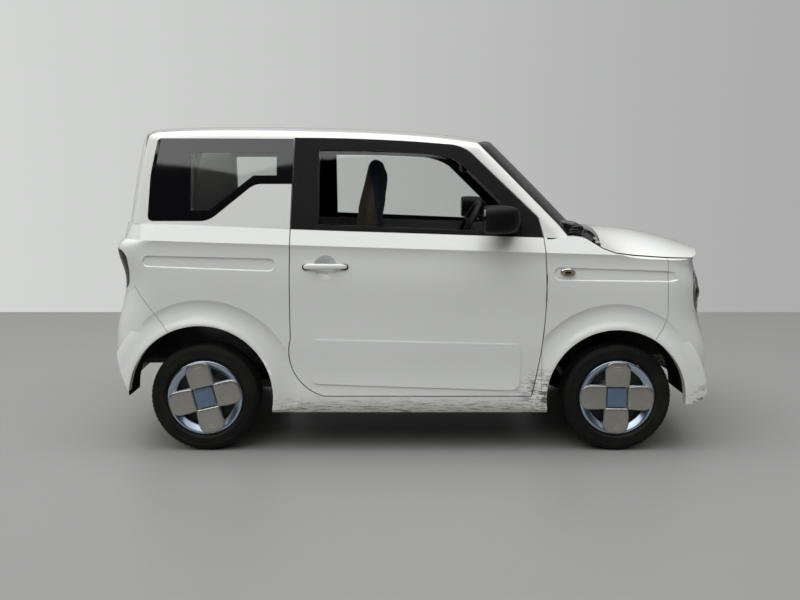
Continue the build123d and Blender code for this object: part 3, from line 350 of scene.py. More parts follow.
WHITE = (0.80, 0.805, 0.79)
MATERIALS = {name: make(name, *values) for make, name, *values in [
    (paint_material, "paint", WHITE),
    (paint_material, "paint_plastic", WHITE, True),
    (grained_plastic, "black_trim", (0.0065, 0.0065, 0.007), 0.42),
    (grained_plastic, "mirror_black", (0.0022, 0.0022, 0.0026), 0.5),
    (grained_plastic, "liner", (0.004, 0.004, 0.004), 0.85, 300.0, 0.0015, 0.10),
    (glass_material, "glass_clear", (0.955, 0.965, 0.96)),
    (glass_material, "glass_dark", (0.90, 0.91, 0.90), quarter_mask),
    (smooth_gloss, "lamp_front", (0.004, 0.004, 0.005), 0.05),
    (lamp_material, "lamp_rear", (0.004, 0.0025, 0.003), 0.08, 0.12),
    (lamp_material, "lamp_side", (0.20, 0.16, 0.05), 0.08, 0.8),
    (chassis_metal, "underbody", (0.03, 0.03, 0.032)),
    (chassis_metal, "steel", (0.035, 0.035, 0.037)),
    (rubber_material, "rubber"),
    (metal, "rim_paint", (0.030, 0.031, 0.033), 0.45, 0.5),
    (metal, "cover_plastic", (0.40, 0.385, 0.36), 0.26, 0.8),
    (metal, "cover_blue", (0.16, 0.23, 0.34), 0.30, 0.55),
    (fabric_material, "seat_fabric", (0.025, 0.04, 0.065), (0.06, 0.10, 0.16)),
    (seat_back_material, "seat_back"),
    (grained_plastic, "cabin_plastic", (0.030, 0.031, 0.034), 0.55, 700.0),
    (leather_material, "wheel_grip", (0.025, 0.025, 0.028)),
    (metal, "battery_case", (0.30, 0.31, 0.32), 0.5, 0.9),
    (metal, "motor_case", (0.42, 0.42, 0.42), 0.48, 0.9),
    (lamp_material, "lamp_white", (0.17, 0.175, 0.18), 0.15, 0.2),
    (metal, "cover_ring", (0.42, 0.50, 0.62), 0.18, 0.9),
    (metal, "wheel_black", (0.012, 0.012, 0.013), 0.5, 0.3),
    (metal, "mirror_silver", (0.85, 0.86, 0.87), 0.04, 1.0),
    (metal, "chrome_satin", (0.10, 0.10, 0.11), 0.35, 0.6),
    (metal, "chrome", (0.75, 0.76, 0.77), 0.10, 1.0),
    (smooth_gloss, "gloss_black", (0.008, 0.008, 0.009), 0.08),
    (grained_plastic, "seal", (0.008, 0.008, 0.009), 0.6, 500.0),
]}


def dress_nodes():
    for name, node in NODES.items():
        node.data.materials.clear()
        node.data.materials.append(MATERIALS[SLOT_OF[name]])


# ---------------------------------------------------------------- mesh helpers
def link(name, mesh, material, body, smooth=35.0):
    """Makes a piece from a mesh, gives it its material and lets it ride on a body."""
    piece = bpy.data.objects.new(name, mesh)
    SCENE.collection.objects.link(piece)
    if not mesh.materials:
        mesh.materials.append(MATERIALS[material])
    if smooth:
        mesh.polygons.foreach_set("use_smooth", [True] * len(mesh.polygons))
        mesh.set_sharp_from_angle(angle=math.radians(smooth))
    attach(piece, body)
    return piece


def mesh_from(name, build):
    """Mesh made by build(bm), with clean outward normals."""
    bm = bmesh.new()
    build(bm)
    bmesh.ops.remove_doubles(bm, verts=bm.verts, dist=1e-6)
    bmesh.ops.recalc_face_normals(bm, faces=bm.faces)
    mesh = bpy.data.meshes.new(name)
    bm.to_mesh(mesh)
    bm.free()
    return mesh


def bridge(bm, rings):
    """Joins each ring of vertices to the next with four-sided faces."""
    for here, there in zip(rings, rings[1:]):
        for k in range(len(here)):
            after = (k + 1) % len(here)
            bm.faces.new((here[k], here[after], there[after], there[k]))


def lathe(bm, profile, segments=96):
    """Turns a closed profile of (radius, along) about the local Y axis."""
    rings = []
    for step in range(segments):
        turn = 2 * math.pi * step / segments
        ring = [bm.verts.new((r * math.cos(turn), along, r * math.sin(turn))) for r, along in profile]
        rings.append(ring)
    bridge(bm, rings + rings[:1])
    return [v for ring in rings for v in ring]


def tube(bm, points, radius, sides=10, closed=False):
    """Round tube along points."""
    points = [Vector(p) for p in points]
    rings = []
    count = len(points)
    for i, point in enumerate(points):
        before = points[i - 1] if (i or closed) else point
        after = points[(i + 1) % count] if (i < count - 1 or closed) else point
        along = (after - before).normalized()
        side = along.cross(Vector((0, 0, 1)))
        side = side.normalized() if side.length > 1e-4 else along.cross(Vector((1, 0, 0))).normalized()
        up = side.cross(along)
        rings.append([bm.verts.new(point + radius * (math.cos(a) * side + math.sin(a) * up))
                      for a in (2 * math.pi * k / sides for k in range(sides))])
    bridge(bm, rings + rings[:1] if closed else rings)
    if not closed:
        bm.faces.new(rings[0])
        bm.faces.new(rings[-1][::-1])


def rows_to_skin(bm, rows, caps=True):
    """Skins rings of points, each a list of the same length, and closes the ends."""
    rings = [[bm.verts.new(point) for point in row] for row in rows]
    bridge(bm, rings)
    if caps:
        bm.faces.new(rings[0])
        bm.faces.new(rings[-1][::-1])


def superellipse(width, height, power, count=48):
    """Points of a rounded square outline."""
    points = []
    for k in range(count):
        a = 2 * math.pi * k / count
        c, s = math.cos(a), math.sin(a)
        points.append((math.copysign(abs(c) ** (2 / power), c) * width / 2,
                       math.copysign(abs(s) ** (2 / power), s) * height / 2))
    return points


def centre_of(node):
    low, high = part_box(node)
    return (low + high) / 2


def mirrored(mesh, name):
    copy = mesh.copy()
    copy.name = name
    copy.transform(Matrix.Scale(-1, 4, (0, 1, 0)))
    copy.flip_normals()
    return copy


def built(name, build, material, body, smooth=35.0):
    """Piece whose mesh is made by build(bm)."""
    return link(name, mesh_from(name, build), material, body, smooth)


def pair(name, build, material, body, nodes=(), smooth=35.0):
    """A right-hand piece and its mirror image; body and node names swap right for left."""
    mesh = mesh_from(name, build)
    made = {}
    for side in SIDES:
        data = mesh if side == "right" else mirrored(mesh, mesh.name + "_left")
        piece = link(f"{name}_{side}", data, material, body.replace("right", side), smooth)
        if nodes:
            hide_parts(*[node.replace("right", side) for node in nodes])
        made[side] = piece
    return made


def add_subdivision(piece):
    modifier = piece.modifiers.new("subdivision", "SUBSURF")
    modifier.levels = modifier.render_levels = 1


def rounded_outline(corners, steps=7):
    """Closed outline with arcs: corners are (x, z, radius)."""
    outline = []
    count = len(corners)
    for i, (x, z, radius) in enumerate(corners):
        here = Vector((x, z))
        before = Vector(corners[i - 1][:2]) - here
        after = Vector(corners[(i + 1) % count][:2]) - here
        half = before.angle(after) / 2
        reach = radius / math.tan(half)
        centre = here + (before.normalized() + after.normalized()).normalized() * (radius / math.sin(half))
        start = here + before.normalized() * reach - centre
        finish = here + after.normalized() * reach - centre
        turn = math.atan2(start.x * finish.y - start.y * finish.x, start.dot(finish))
        for k in range(steps + 1):
            a = turn * k / steps
            outline.append((centre.x + start.x * math.cos(a) - start.y * math.sin(a),
                            centre.y + start.x * math.sin(a) + start.y * math.cos(a)))
    return outline


# ---------------------------------------------------------------- wheels
TYRE_LOW, TYRE_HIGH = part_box("tyre_front_right")
TYRE_RADIUS = (TYRE_HIGH - TYRE_LOW).z / 2
TYRE_HALF = (TYRE_HIGH - TYRE_LOW).y / 2
RING_RADIUS = 0.1825
TREAD_BLOCKS = 64
SIPE_DEPTH = 0.0022


def tyre_profile():
    """Closed (radius, along) section: tread with three grooves, ribbed sidewalls, open bead."""
    top, half = TYRE_RADIUS, TYRE_HALF
    crown = [(0, 0.0), (0.004, 0.0), (0.0055, 0.006), (0.019, 0.006), (0.0205, 0.0), (0.033, 0.0006),
             (0.0345, 0.007), (0.0395, 0.007), (0.041, 0.0012)]
    right = [(top - drop, y) for y, drop in crown]
    wall = [(0.003, 0.024), (0.0060, 0.0165), (0.012, 0.0105), (0.020, 0.0065), (0.0215, 0.0050),
            (0.030, 0.0025), (0.0310, 0.0012), (0.0335, 0.0012), (0.0345, 0.0022), (0.050, 0.0004),
            (0.062, 0.0008), (0.0635, 0.0002), (0.0665, 0.0004), (0.068, 0.0026), (0.075, 0.0060)]
    right += [(top - drop, half - inset) for drop, inset in wall]
    right += [(RING_RADIUS + 0.0065, half - 0.0095), (RING_RADIUS + 0.0045, half - 0.0135),
              (RING_RADIUS + 0.0045, half - 0.020)]
    inside = [(RING_RADIUS + 0.009, half - 0.022), (top - 0.052, half - 0.011), (top - 0.020, half - 0.022),
              (top - 0.013, 0)]
    left = [(r, -y) for r, y in reversed(right[1:] + inside[:-1])]
    return right + inside + left


def tyre_mesh():
    profile = tyre_profile()
    segments = TREAD_BLOCKS * 4

    def build(bm):
        verts = lathe(bm, profile, segments)
        for number, vert in enumerate(verts):
            step, place = divmod(number, len(profile))
            radius, along = profile[place]
            shoulder = 0.033 < abs(along) < TYRE_HALF - 0.009 and radius > TYRE_RADIUS - 0.014
            offset = 2 if along > 0 else 0
            if shoulder and (step + offset) % 4 == 0:
                vert.co.x *= 1 - SIPE_DEPTH / radius
                vert.co.z *= 1 - SIPE_DEPTH / radius
            if abs(along) < 0.022:  # the middle ribs wave a little round the tyre
                turn = 0.05 * math.sin(4 * math.pi * step / TREAD_BLOCKS) * 0.25
                vert.co = Matrix.Rotation(turn * 0.15, 3, "Y") @ vert.co
    return mesh_from("tyre", build)


def petal_outline():
    half = 0.0595
    edge = [(half - 0.002, 0.0520, 0.008), (half + 0.0030, 0.105, 0.3), (half - 0.001, 0.1770, 0.041)]
    other = [(-x, z, radius) for x, z, radius in edge]
    return rounded_outline(other + [(0, 0.1800, 0.3)] + edge[::-1], 6)


def shrunk(outline, centre, inset):
    """Outline pulled towards its centre by a distance."""
    moved = []
    for x, z in outline:
        dx, dz = x - centre[0], z - centre[1]
        reach = math.hypot(dx, dz)
        moved.append((centre[0] + dx * (1 - inset / reach), centre[1] + dz * (1 - inset / reach)))
    return moved


def stacked(bm, outline, centre, levels, place=Matrix.Identity(4), close=True):
    """Rings of the outline, each inset and raised outboard (-Y): levels of (inset, height)."""
    rings = [[bm.verts.new(place @ Vector((x, -height, z))) for x, z in shrunk(outline, centre, inset)]
             for inset, height in levels]
    bridge(bm, rings)
    if close:
        hub = bm.verts.new(place @ Vector((centre[0], -levels[-1][1] - 0.0004, centre[1])))
        count = len(outline)
        for k in range(count):
            bm.faces.new((rings[-1][k], rings[-1][(k + 1) % count], hub))
    return rings


def cover_ring_mesh():
    """Silver-blue dished ring with four webs behind the petals."""
    section = [(0.1818, 0.066), (RING_RADIUS, 0.0715), (0.1820, 0.0742), (0.1790, 0.0760), (0.1745, 0.0766),
               (0.1700, 0.0752), (0.1620, 0.0705), (0.1540, 0.0650), (0.1470, 0.0600), (0.1435, 0.0570),
               (0.1425, 0.0540), (0.1425, 0.0500), (0.1445, 0.0500), (0.1540, 0.0590), (0.1700, 0.066)]

    def build(bm):
        lathe(bm, [(r, -y) for r, y in section], 160)
        web = rounded_outline([(-0.0605, 0.046, 0.010), (-0.0605, 0.150, 0.02), (0.0605, 0.150, 0.02),
                               (0.0605, 0.046, 0.010)], 4)
        for quarter in range(4):
            turn = Matrix.Rotation(math.pi / 2 * quarter, 4, "Y")
            stacked(bm, web, (0, 0.10), [(0.0, 0.050), (0.0, 0.0615), (0.0015, 0.0630), (0.02, 0.0634)], turn)
    return mesh_from("cover_ring", build)


def cover_petal_mesh():
    def build(bm):
        outline = petal_outline()
        for quarter in range(4):
            turn = Matrix.Rotation(math.pi / 2 * quarter, 4, "Y")
            stacked(bm, outline, (0, 0.114),
                    [(0.004, 0.0600), (0.0012, 0.0640), (0.0, 0.0700), (0.0, 0.0745), (0.0008, 0.0772),
                     (0.0030, 0.0795), (0.0065, 0.0810), (0.012, 0.0817), (0.024, 0.0822), (0.040, 0.0824)],
                    turn)
            for rib in (0.126, 0.139, 0.152):
                tube(bm, [turn @ Vector((x, -0.0819 + abs(x) * 0.02, rib - x * x * 2)) for x in
                          np.linspace(-0.022, 0.022, 9)], 0.0010, 6)
    return mesh_from("cover_petals", build)


def cover_cap_mesh():
    def build(bm):
        corners = []
        corner, side = (-0.0485, -0.0485), (-0.0505, 0)
        for _ in range(4):
            corners += [(*corner, 0.012), (*side, 0.4)]
            corner, side = (corner[1], -corner[0]), (side[1], -side[0])
        cap = shrunk(rounded_outline(corners, 5), (0, 0), 0.0015)
        stacked(bm, cap, (0, 0), [(0.001, 0.060), (0.0, 0.0740), (0.0006, 0.0765), (0.0022, 0.0782),
                                  (0.006, 0.0790), (0.02, 0.0797)])
    return mesh_from("cover_cap", build)


def hub_dark_mesh():
    """Dark steel disc with bolts, seen through the openings."""
    section = [(0.020, 0.052), (0.030, 0.052), (0.034, 0.046), (0.060, 0.046), (0.080, 0.040), (0.100, 0.030),
               (0.150, 0.028), (0.158, 0.040), (0.162, 0.040), (0.158, 0.020), (0.100, 0.022), (0.060, 0.036),
               (0.020, 0.036)]

    def build(bm):
        lathe(bm, [(r, -y) for r, y in section], 96)
        for bolt in range(4):
            a = math.pi / 2 * bolt + math.pi / 4
            centre = Matrix.Translation((0.050 * math.cos(a), 0, 0.050 * math.sin(a)))
            head = [(0.009 * math.cos(k * math.pi / 3), 0.009 * math.sin(k * math.pi / 3)) for k in range(6)]
            stacked(bm, head, (0, 0), [(0, 0.044), (0, 0.056), (0.001, 0.058)], centre)
    return mesh_from("hub_disc", build)


# Degrees that each cover stands turned, seen from outside.
COVER_TURN = {"front_right": 1.0, "rear_right": -13.0, "front_left": 8.0, "rear_left": -20.0}


def build_wheels():
    pieces = {
        "tyre": (tyre_mesh(), "rubber", "rubber", "tyre"),
        "cover_ring": (cover_ring_mesh(), "cover_ring", "cover_plastic", "wheel_cover"),
        "cover_petals": (cover_petal_mesh(), "cover_plastic", "cover_plastic", None),
        "cover_cap": (cover_cap_mesh(), "cover_blue", "cover_plastic", None),
        "hub_disc": (hub_dark_mesh(), "wheel_black", "steel", None),
    }
    for end in ("front", "rear"):
        for side in SIDES:
            where = f"{end}_{side}"
            centre = centre_of(f"tyre_{where}")
            turn = Matrix.Rotation(math.radians(COVER_TURN[where]), 4, "Y")
            for name, (mesh, material, slot, node) in pieces.items():
                copy = mesh.copy() if side == "right" else mirrored(mesh, mesh.name)
                copy.name = f"{name}_{where}"
                copy.transform(Matrix.Translation(centre) @ turn)
                piece = link(f"{name}_{where}", copy, material, f"wheel_{where}", 32)
                if node:
                    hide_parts(f"{node}_{where}")


# ---------------------------------------------------------------- outside details
REPEATER_AT = (0.740, 0.883)
MIRROR_FOOT_BOTTOM = 1.076
HEADLAMP_AT = (-0.565, 0.768)


def build_handles():
    """Grab bar over a finger recess, with a gasket under each end of the bar."""
    low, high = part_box("door_handle_right")
    length = high.x - low.x
    middle = (low + high) / 2
    outer = low.y

    def build(bm):
        rows = []
        count = 29
        for i in range(count):
            t = i / (count - 1) * 2 - 1
            x = middle.x + t * (length / 2 - 0.0005)
            end = math.sqrt(max(0.0, 1 - abs(t) ** 7))
            tall = (0.0155 - 0.0028 * (t + 1) / 2) * max(end, 0.10)
            deep = 0.0105 * max(end, 0.15)
            arch = outer + 0.0115 + 0.006 * t * t
            rows.append([(x, arch + deep * b, middle.z + tall * a)
                         for a, b in superellipse(2, 2, 2.6, 24)])
        rows_to_skin(bm, rows)
    pair("handle_bar", build, "paint_plastic", "door_right",
         ["door_handle_right"], 60)

    seat = -high.y

    def gasket(bm):
        for x, half in ((low.x + 0.028, 0.027), (high.x - 0.024, 0.023)):
            outline = [(x + a, middle.z - 0.0015 + b) for a, b in superellipse(2 * half, 0.029, 3.0, 36)]
            levels = [(0.0, seat - 0.0005), (0.0, seat + 0.0035), (0.002, seat + 0.0045)]
            stacked(bm, outline, (x, middle.z), levels)
    pair("handle_gasket", gasket, "seal", "door_right")


def build_repeaters():
    """Chromed oval bezel round an amber side lamp."""
    centre = REPEATER_AT
    base = -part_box("side_repeaters")[0].y

    def oval(*shape):
        return [(centre[0] + a, centre[1] + b) for a, b in superellipse(*shape)]

    def bezel(bm):
        outline = oval(0.070, 0.040, 2.2, 48)
        section = ((0.0, -0.006), (0.0, 0.0008), (0.0018, 0.0026), (0.0048, 0.0026), (0.0064, 0.0002),
                   (0.0064, -0.006))
        bridge(bm, [stacked(bm, outline, centre, [(inset, base + height)], close=False)[0]
                    for inset, height in section])
    pair("repeater_bezel", bezel, "chrome", "body")

    def lens(bm):
        stacked(bm, oval(0.0575, 0.0275, 2.2, 48), centre,
                [(0.0, base - 0.004), (0.0, base + 0.0004), (0.003, base + 0.0014), (0.010, base + 0.0020)])
    made = pair("repeater_lens", lens, "lamp_side", "body")
    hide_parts("side_repeaters")

    def window(bm):
        stacked(bm, oval(0.030, 0.018, 3.0, 32), centre,
                [(0.0, base), (0.0, base + 0.0022), (0.001, base + 0.0027)])
    pair("repeater_window", window, "gloss_black", "body")


def build_mirrors():
    """Matt mirror housing on its foot, with a silvered glass set in the rear face."""
    low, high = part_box("door_mirror_right")
    outer, top, bottom = low.y, high.z, MIRROR_FOOT_BOTTOM
    middle_y, middle_z = outer + 0.0755, (top + bottom) / 2
    rear = low.x

    def housing(bm):
        sections = ((0.003, 0.128, 0.106, 0.000), (0.000, 0.136, 0.114, 0.000), (0.004, 0.146, 0.124, 0.000),
                    (0.016, 0.151, 0.131, 0.000), (0.050, 0.151, 0.133, 0.001), (0.095, 0.144, 0.130, 0.004),
                    (0.130, 0.126, 0.120, 0.010), (0.154, 0.098, 0.100, 0.020), (0.168, 0.054, 0.060, 0.034))
        rows_to_skin(bm, [[(rear + along + 0.06 * (0.075 - y) * 0.3, middle_y + shift + y, middle_z + z)
                           for y, z in superellipse(wide, tall, 3.3, 44)]
                          for along, wide, tall, shift in sections])
    pair("mirror_housing", housing, "mirror_black", "door_right", ["door_mirror_right"], 50)

    def foot(bm):
        rows = []
        for t in np.linspace(0, 1, 9):
            y = outer + 0.120 + t * (high.y - outer - 0.120)
            x = rear + 0.085 + 0.055 * t ** 1.5
            wide = 0.085 + 0.035 * t
            tall = 0.050 + 0.022 * t * t
            rows.append([(x + a, y, bottom + 0.028 - 0.010 * t + b)
                         for a, b in superellipse(wide, tall, 2.8, 28)])
        rows_to_skin(bm, rows)
    pair("mirror_foot", foot, "mirror_black", "door_right", smooth=50)

    def glass(bm):
        outline = [(middle_y + a, middle_z + b) for a, b in superellipse(0.118, 0.096, 3.6, 44)]
        rings = [[bm.verts.new((rear + 0.0055 - depth - 0.02 * (y - middle_y), y, z))
                  for y, z in shrunk(outline, (middle_y, middle_z), inset)]
                 for inset, depth in ((0, 0), (0.0008, 0.0022), (0.002, 0.0028), (0.03, 0.0030))]
        bridge(bm, rings)
        bm.faces.new(rings[-1])
    pair("mirror_glass", glass, "mirror_silver", "door_right")


def front_surface(node):
    """Function that gives the point of a node's front face at (y, z)."""
    mesh = NODES[node].data
    tree = BVHTree.FromPolygons([v.co for v in mesh.vertices], [p.vertices for p in mesh.polygons])

    def at(y, z, lift=0.0):
        hit, normal = tree.ray_cast(Vector((3, y, z)), Vector((-1, 0, 0)))[:2]
        return hit + (normal if normal.x > 0 else -normal) * lift
    return at


def build_wipers():
    """Two wipers parked along the foot of the windscreen, on the scuttle."""
    screen = front_surface("windscreen")

    def build(bm):
        for pivot_y, inner_y, outer_y in ((0.30, 0.42, -0.06), (-0.22, -0.08, -0.54)):
            base = screen(pivot_y, 1.040, 0.0) + Vector((0.020, 0, 0.002))
            cap = [(0.015 * math.cos(a), 0.015 * math.sin(a)) for a in np.linspace(0, 2 * math.pi, 24, False)]
            stacked(bm, cap, (0, 0), [(0, -0.006), (0, 0.014), (0.003, 0.018), (0.008, 0.019)],
                    Matrix.Translation(base) @ Matrix.Rotation(math.radians(-90), 4, "X"))
            middle_y = (inner_y + outer_y) / 2
            arm = [base + Vector((0, 0, 0.012)), screen((pivot_y * 2 + middle_y) / 3, 1.052, 0.020),
                   screen((pivot_y + middle_y * 2) / 3, 1.064, 0.022), screen(middle_y, 1.072, 0.018)]
            tube(bm, arm, 0.0055, 10)
            blade = [screen(inner_y + (outer_y - inner_y) * t, 1.060 + 0.016 * t,
                            0.010 + 0.005 * math.sin(t * math.pi)) for t in np.linspace(0, 1, 17)]
            tube(bm, blade, 0.0048, 8)
            tube(bm, [screen(p.y, p.z - 0.003, 0.0035) for p in blade], 0.0020, 6)
    built("wipers", build, "seal", "body", 45)


def build_scuttle_corners():
    """Rounded black covers between the windscreen's lower corners and the hood."""
    def build(bm):
        outline = rounded_outline([(0.705, 1.046, 0.004), (0.722, 1.128, 0.010), (0.790, 1.120, 0.030),
                                   (0.842, 1.095, 0.024), (0.830, 1.046, 0.008)], 6)
        rings = stacked(bm, outline, (0.775, 1.080),
                        [(0.010, 0.520), (0.003, 0.530), (0.0, 0.545), (0.0, 0.600), (0.003, 0.612),
                         (0.010, 0.619), (0.022, 0.622)])
        bm.faces.new(rings[0])
        for step in range(3):
            level = 1.066 + 0.014 * step
            tube(bm, [(0.745 + 0.014 * step, -0.619, level), (0.770 + 0.012 * step, -0.6245, level + 0.003),
                      (0.800 + 0.008 * step, -0.619, level + 0.004)], 0.0035, 8)
    pair("scuttle_corner", build, "gloss_black", "body", smooth=40)


def build_headlamps():
    """Light ring and projector lens on each round front lamp."""
    lens = front_surface("headlamps")
    centre_y, centre_z = HEADLAMP_AT

    def circle(radius, lift, count=64):
        angles = np.linspace(0, 2 * math.pi, count, False)
        return [lens(centre_y + radius * math.cos(a), centre_z + radius * math.sin(a), lift) for a in angles]

    def ring(bm):
        tube(bm, circle(0.082, 0.0005), 0.0034, 10, closed=True)
    pair("headlamp_ring", ring, "lamp_white", "body")

    def bowl(bm):
        tube(bm, circle(0.043, 0.0), 0.0045, 10, closed=True)
        dome = ((0.040, -0.004), (0.036, 0.0045), (0.026, 0.0095), (0.013, 0.0125), (0.002, 0.0130))
        rows_to_skin(bm, [circle(radius, lift, 40) for radius, lift in dome])
    pair("headlamp_lens", bowl, "gloss_black", "body", smooth=60)


# ---------------------------------------------------------------- cabin
HUB = Vector((0.318, 0.370, 1.036))
COLUMN = Vector((0.872, 0.0, -0.489))


def wheel_frame():
    """Local frame at the steering wheel's hub: X to the left of the car, Z along the column, forward."""
    z = COLUMN.normalized()
    x = Vector((0, 1, 0))
    y = z.cross(x)
    return Matrix.Translation(HUB) @ Matrix((x, y, z)).transposed().to_4x4()


def build_steering_wheel():
    place = wheel_frame()
    radius = 0.170

    def rim(bm):
        rows = []
        segments = 96
        for step in range(segments):
            a = 2 * math.pi * step / segments
            flat = 1 - 0.05 * max(0.0, -math.sin(a)) ** 4
            grip = 1 + 0.12 * (math.exp(-((math.degrees(a) % 360 - 20) / 14) ** 2)
                               + math.exp(-((math.degrees(a) % 360 - 160) / 14) ** 2))
            ring = []
            for k in range(20):
                b = 2 * math.pi * k / 20
                out = 0.0135 * grip * math.cos(b)
                up = 0.0148 * grip * math.sin(b)
                reach = (radius + out) * flat
                ring.append(place @ Vector((reach * math.cos(a), reach * math.sin(a), up)))
            rows.append(ring)
        rows.append(rows[0])
        rows_to_skin(bm, rows, caps=False)
    piece = built("steering_wheel_rim", rim, "wheel_grip", "steering_wheel", 60)
    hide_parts("steering_wheel")

    def pad(bm):
        flip = place @ Matrix.Rotation(math.radians(90), 4, "X")
        outline = rounded_outline([(-0.062, -0.055, 0.03), (-0.070, 0.030, 0.03), (0.070, 0.030, 0.03),
                                   (0.062, -0.055, 0.03)], 6)
        stacked(bm, outline, (0, -0.01), [(0.008, -0.022), (0.0, -0.016), (0.0, 0.002), (0.003, 0.008),
                                          (0.010, 0.012), (0.025, 0.015), (0.04, 0.016)],
                flip @ Matrix.Scale(-1, 4, (0, 1, 0)))
    built("steering_wheel_pad", pad, "cabin_plastic", "steering_wheel", 50)

    def spokes(bm):
        for a in (math.radians(8), math.radians(172), math.radians(-90)):
            rows = []
            for t in np.linspace(0.045, radius - 0.004, 9):
                wide = 0.030 - 0.055 * (t - 0.045)
                lift = 0.004 * math.sin((t - 0.045) / 0.12 * math.pi)
                along = Vector((math.cos(a), math.sin(a), 0))
                side = Vector((-math.sin(a), math.cos(a), 0))
                rows.append([place @ (along * t + side * u + Vector((0, 0, w - lift)))
                             for u, w in superellipse(wide, 0.012, 2.8, 20)])
            rows_to_skin(bm, rows)
    built("steering_wheel_spokes", spokes, "chrome_satin", "steering_wheel", 50)


def build_cabin_mirror():
    """Rear-view mirror hung from the roof behind the windscreen."""
    def build(bm):
        place = Matrix.Translation((0.285, 0, 1.395)) @ Matrix.Rotation(math.radians(-90), 4, "Z")
        rings = stacked(bm, superellipse(0.230, 0.068, 3.0, 48), (0, 0),
                        [(0.002, -0.012), (0.0, -0.009), (0.0, 0.004), (0.004, 0.012), (0.016, 0.017)], place)
        bm.faces.new(rings[0])
        tube(bm, [(0.290, 0, 1.400), (0.315, 0, 1.432), (0.330, 0, 1.462)], 0.009, 12)
    built("cabin_mirror", build, "black_trim", "body", 45)


CLOTH_FRAMES = 20
SEAT_ORIGIN = Vector((0.06, -0.33, 0.56))
# Backrest sections: height, rear and front faces and half width, from the seat's origin.
BACK_ROWS = [(0.072, -0.300, -0.180, 0.212), (0.120, -0.315, -0.186, 0.230), (0.200, -0.327, -0.205, 0.236),
             (0.300, -0.335, -0.218, 0.237), (0.400, -0.336, -0.220, 0.234), (0.480, -0.335, -0.218, 0.226),
             (0.560, -0.332, -0.217, 0.206), (0.620, -0.328, -0.219, 0.178), (0.665, -0.318, -0.219, 0.156),
             (0.710, -0.306, -0.211, 0.146), (0.755, -0.294, -0.206, 0.140), (0.800, -0.284, -0.206, 0.136),
             (0.835, -0.277, -0.208, 0.124), (0.858, -0.268, -0.216, 0.104), (0.870, -0.258, -0.226, 0.074)]


def seat_back_mesh():
    """One-piece backrest with its head restraint, before it is filled."""
    def build(bm):
        rows = []
        for up, rear, front, half in BACK_ROWS:
            middle, deep = (rear + front) / 2, (front - rear) / 2
            row = []
            for a, b in superellipse(2, 2, 3.2, 56):
                dish = 0.020 * max(0.0, 1 - a * a) * (1 if b > 0 else 0.2) * (up < 0.60)
                row.append(SEAT_ORIGIN + Vector((middle + b * deep - dish, a * half, up)))
            rows.append(row)
        rows_to_skin(bm, rows)
    return mesh_from("seat_back", build)


def seat_cushion_mesh():
    def build(bm):
        rows = []
        for along in np.linspace(-0.262, 0.192, 15):
            t = (along + 0.262) / 0.454
            end = min(1.0, 3.2 * min(t, 1 - t) + 0.55)
            half = 0.226 * min(1.0, 0.86 + 0.5 * min(t, 1 - t) * 2)
            top = 0.100 + 0.012 * t
            low = 0.012
            row = []
            for a, b in superellipse(2, 2, 3.4, 56):
                bolster = 0.016 * (abs(a) > 0.62) * (b > 0)
                height = (top - low) / 2 * end
                row.append(SEAT_ORIGIN + Vector((along, a * half, (top + low) / 2 + b * height + bolster)))
            rows.append(row)
        rows_to_skin(bm, rows)
    return mesh_from("seat_cushion", build)


def bench_mesh(part):
    """Rear bench: a long cushion or its leaning back, before it is filled."""
    def build(bm):
        rows = []
        for y in np.linspace(-0.468, 0.468, 41):
            t = min(1.0, (0.468 - abs(y)) / 0.05 + 0.30)
            row = []
            for a, b in superellipse(2, 2, 4.0, 48):
                if part == "cushion":
                    row.append((-0.676 + a * 0.192, y, 0.494 + b * 0.053 * (0.6 + 0.4 * t)))
                else:
                    up = 0.775 + b * 0.205
                    lean = -0.822 - (up - 0.57) * 0.235
                    row.append((lean + a * 0.050 * (0.6 + 0.4 * t), y, up))
            rows.append(row)
        rows_to_skin(bm, rows)
    return mesh_from("bench_" + part, build)


def stuffed(piece, voxel, cap):
    """Swells a piece with cloth under pressure, then keeps the swollen mesh."""
    bpy.context.view_layer.objects.active = piece
    remesh = piece.modifiers.new("remesh", "REMESH")
    remesh.mode = "VOXEL"
    remesh.voxel_size = voxel
    bpy.ops.object.modifier_apply(modifier="remesh")
    before = np.empty(len(piece.data.vertices) * 3)
    piece.data.vertices.foreach_get("co", before)
    cloth = piece.modifiers.new("cloth", "CLOTH")
    cloth.settings.use_pressure = True
    cloth.settings.uniform_pressure_force = 4.0
    cloth.settings.effector_weights.gravity = 0.0
    cloth.settings.quality = 5
    cloth.point_cache.frame_start = 1
    cloth.point_cache.frame_end = CLOTH_FRAMES
    for number in range(1, CLOTH_FRAMES + 1):
        SCENE.frame_set(number)
    bpy.ops.object.modifier_apply(modifier="cloth")
    SCENE.frame_set(1)
    after = np.empty_like(before)
    piece.data.vertices.foreach_get("co", after)
    move = (after - before).reshape(-1, 3)
    reach = np.linalg.norm(move, axis=1, keepdims=True)
    move *= np.minimum(1.0, cap / np.maximum(reach, 1e-9))
    piece.data.vertices.foreach_set("co", (before.reshape(-1, 3) + move).ravel())
    smooth = piece.modifiers.new("smooth", "SMOOTH")
    smooth.iterations = 6
    smooth.factor = 0.5
    bpy.ops.object.modifier_apply(modifier="smooth")
    add_subdivision(piece)
    piece.data.polygons.foreach_set("use_smooth", [True] * len(piece.data.polygons))
    return piece


def loose_piece(name, mesh, material):
    """Piece not yet on a body, for the cloth simulation."""
    piece = bpy.data.objects.new(name, mesh)
    SCENE.collection.objects.link(piece)
    mesh.materials.append(MATERIALS[material])
    return piece


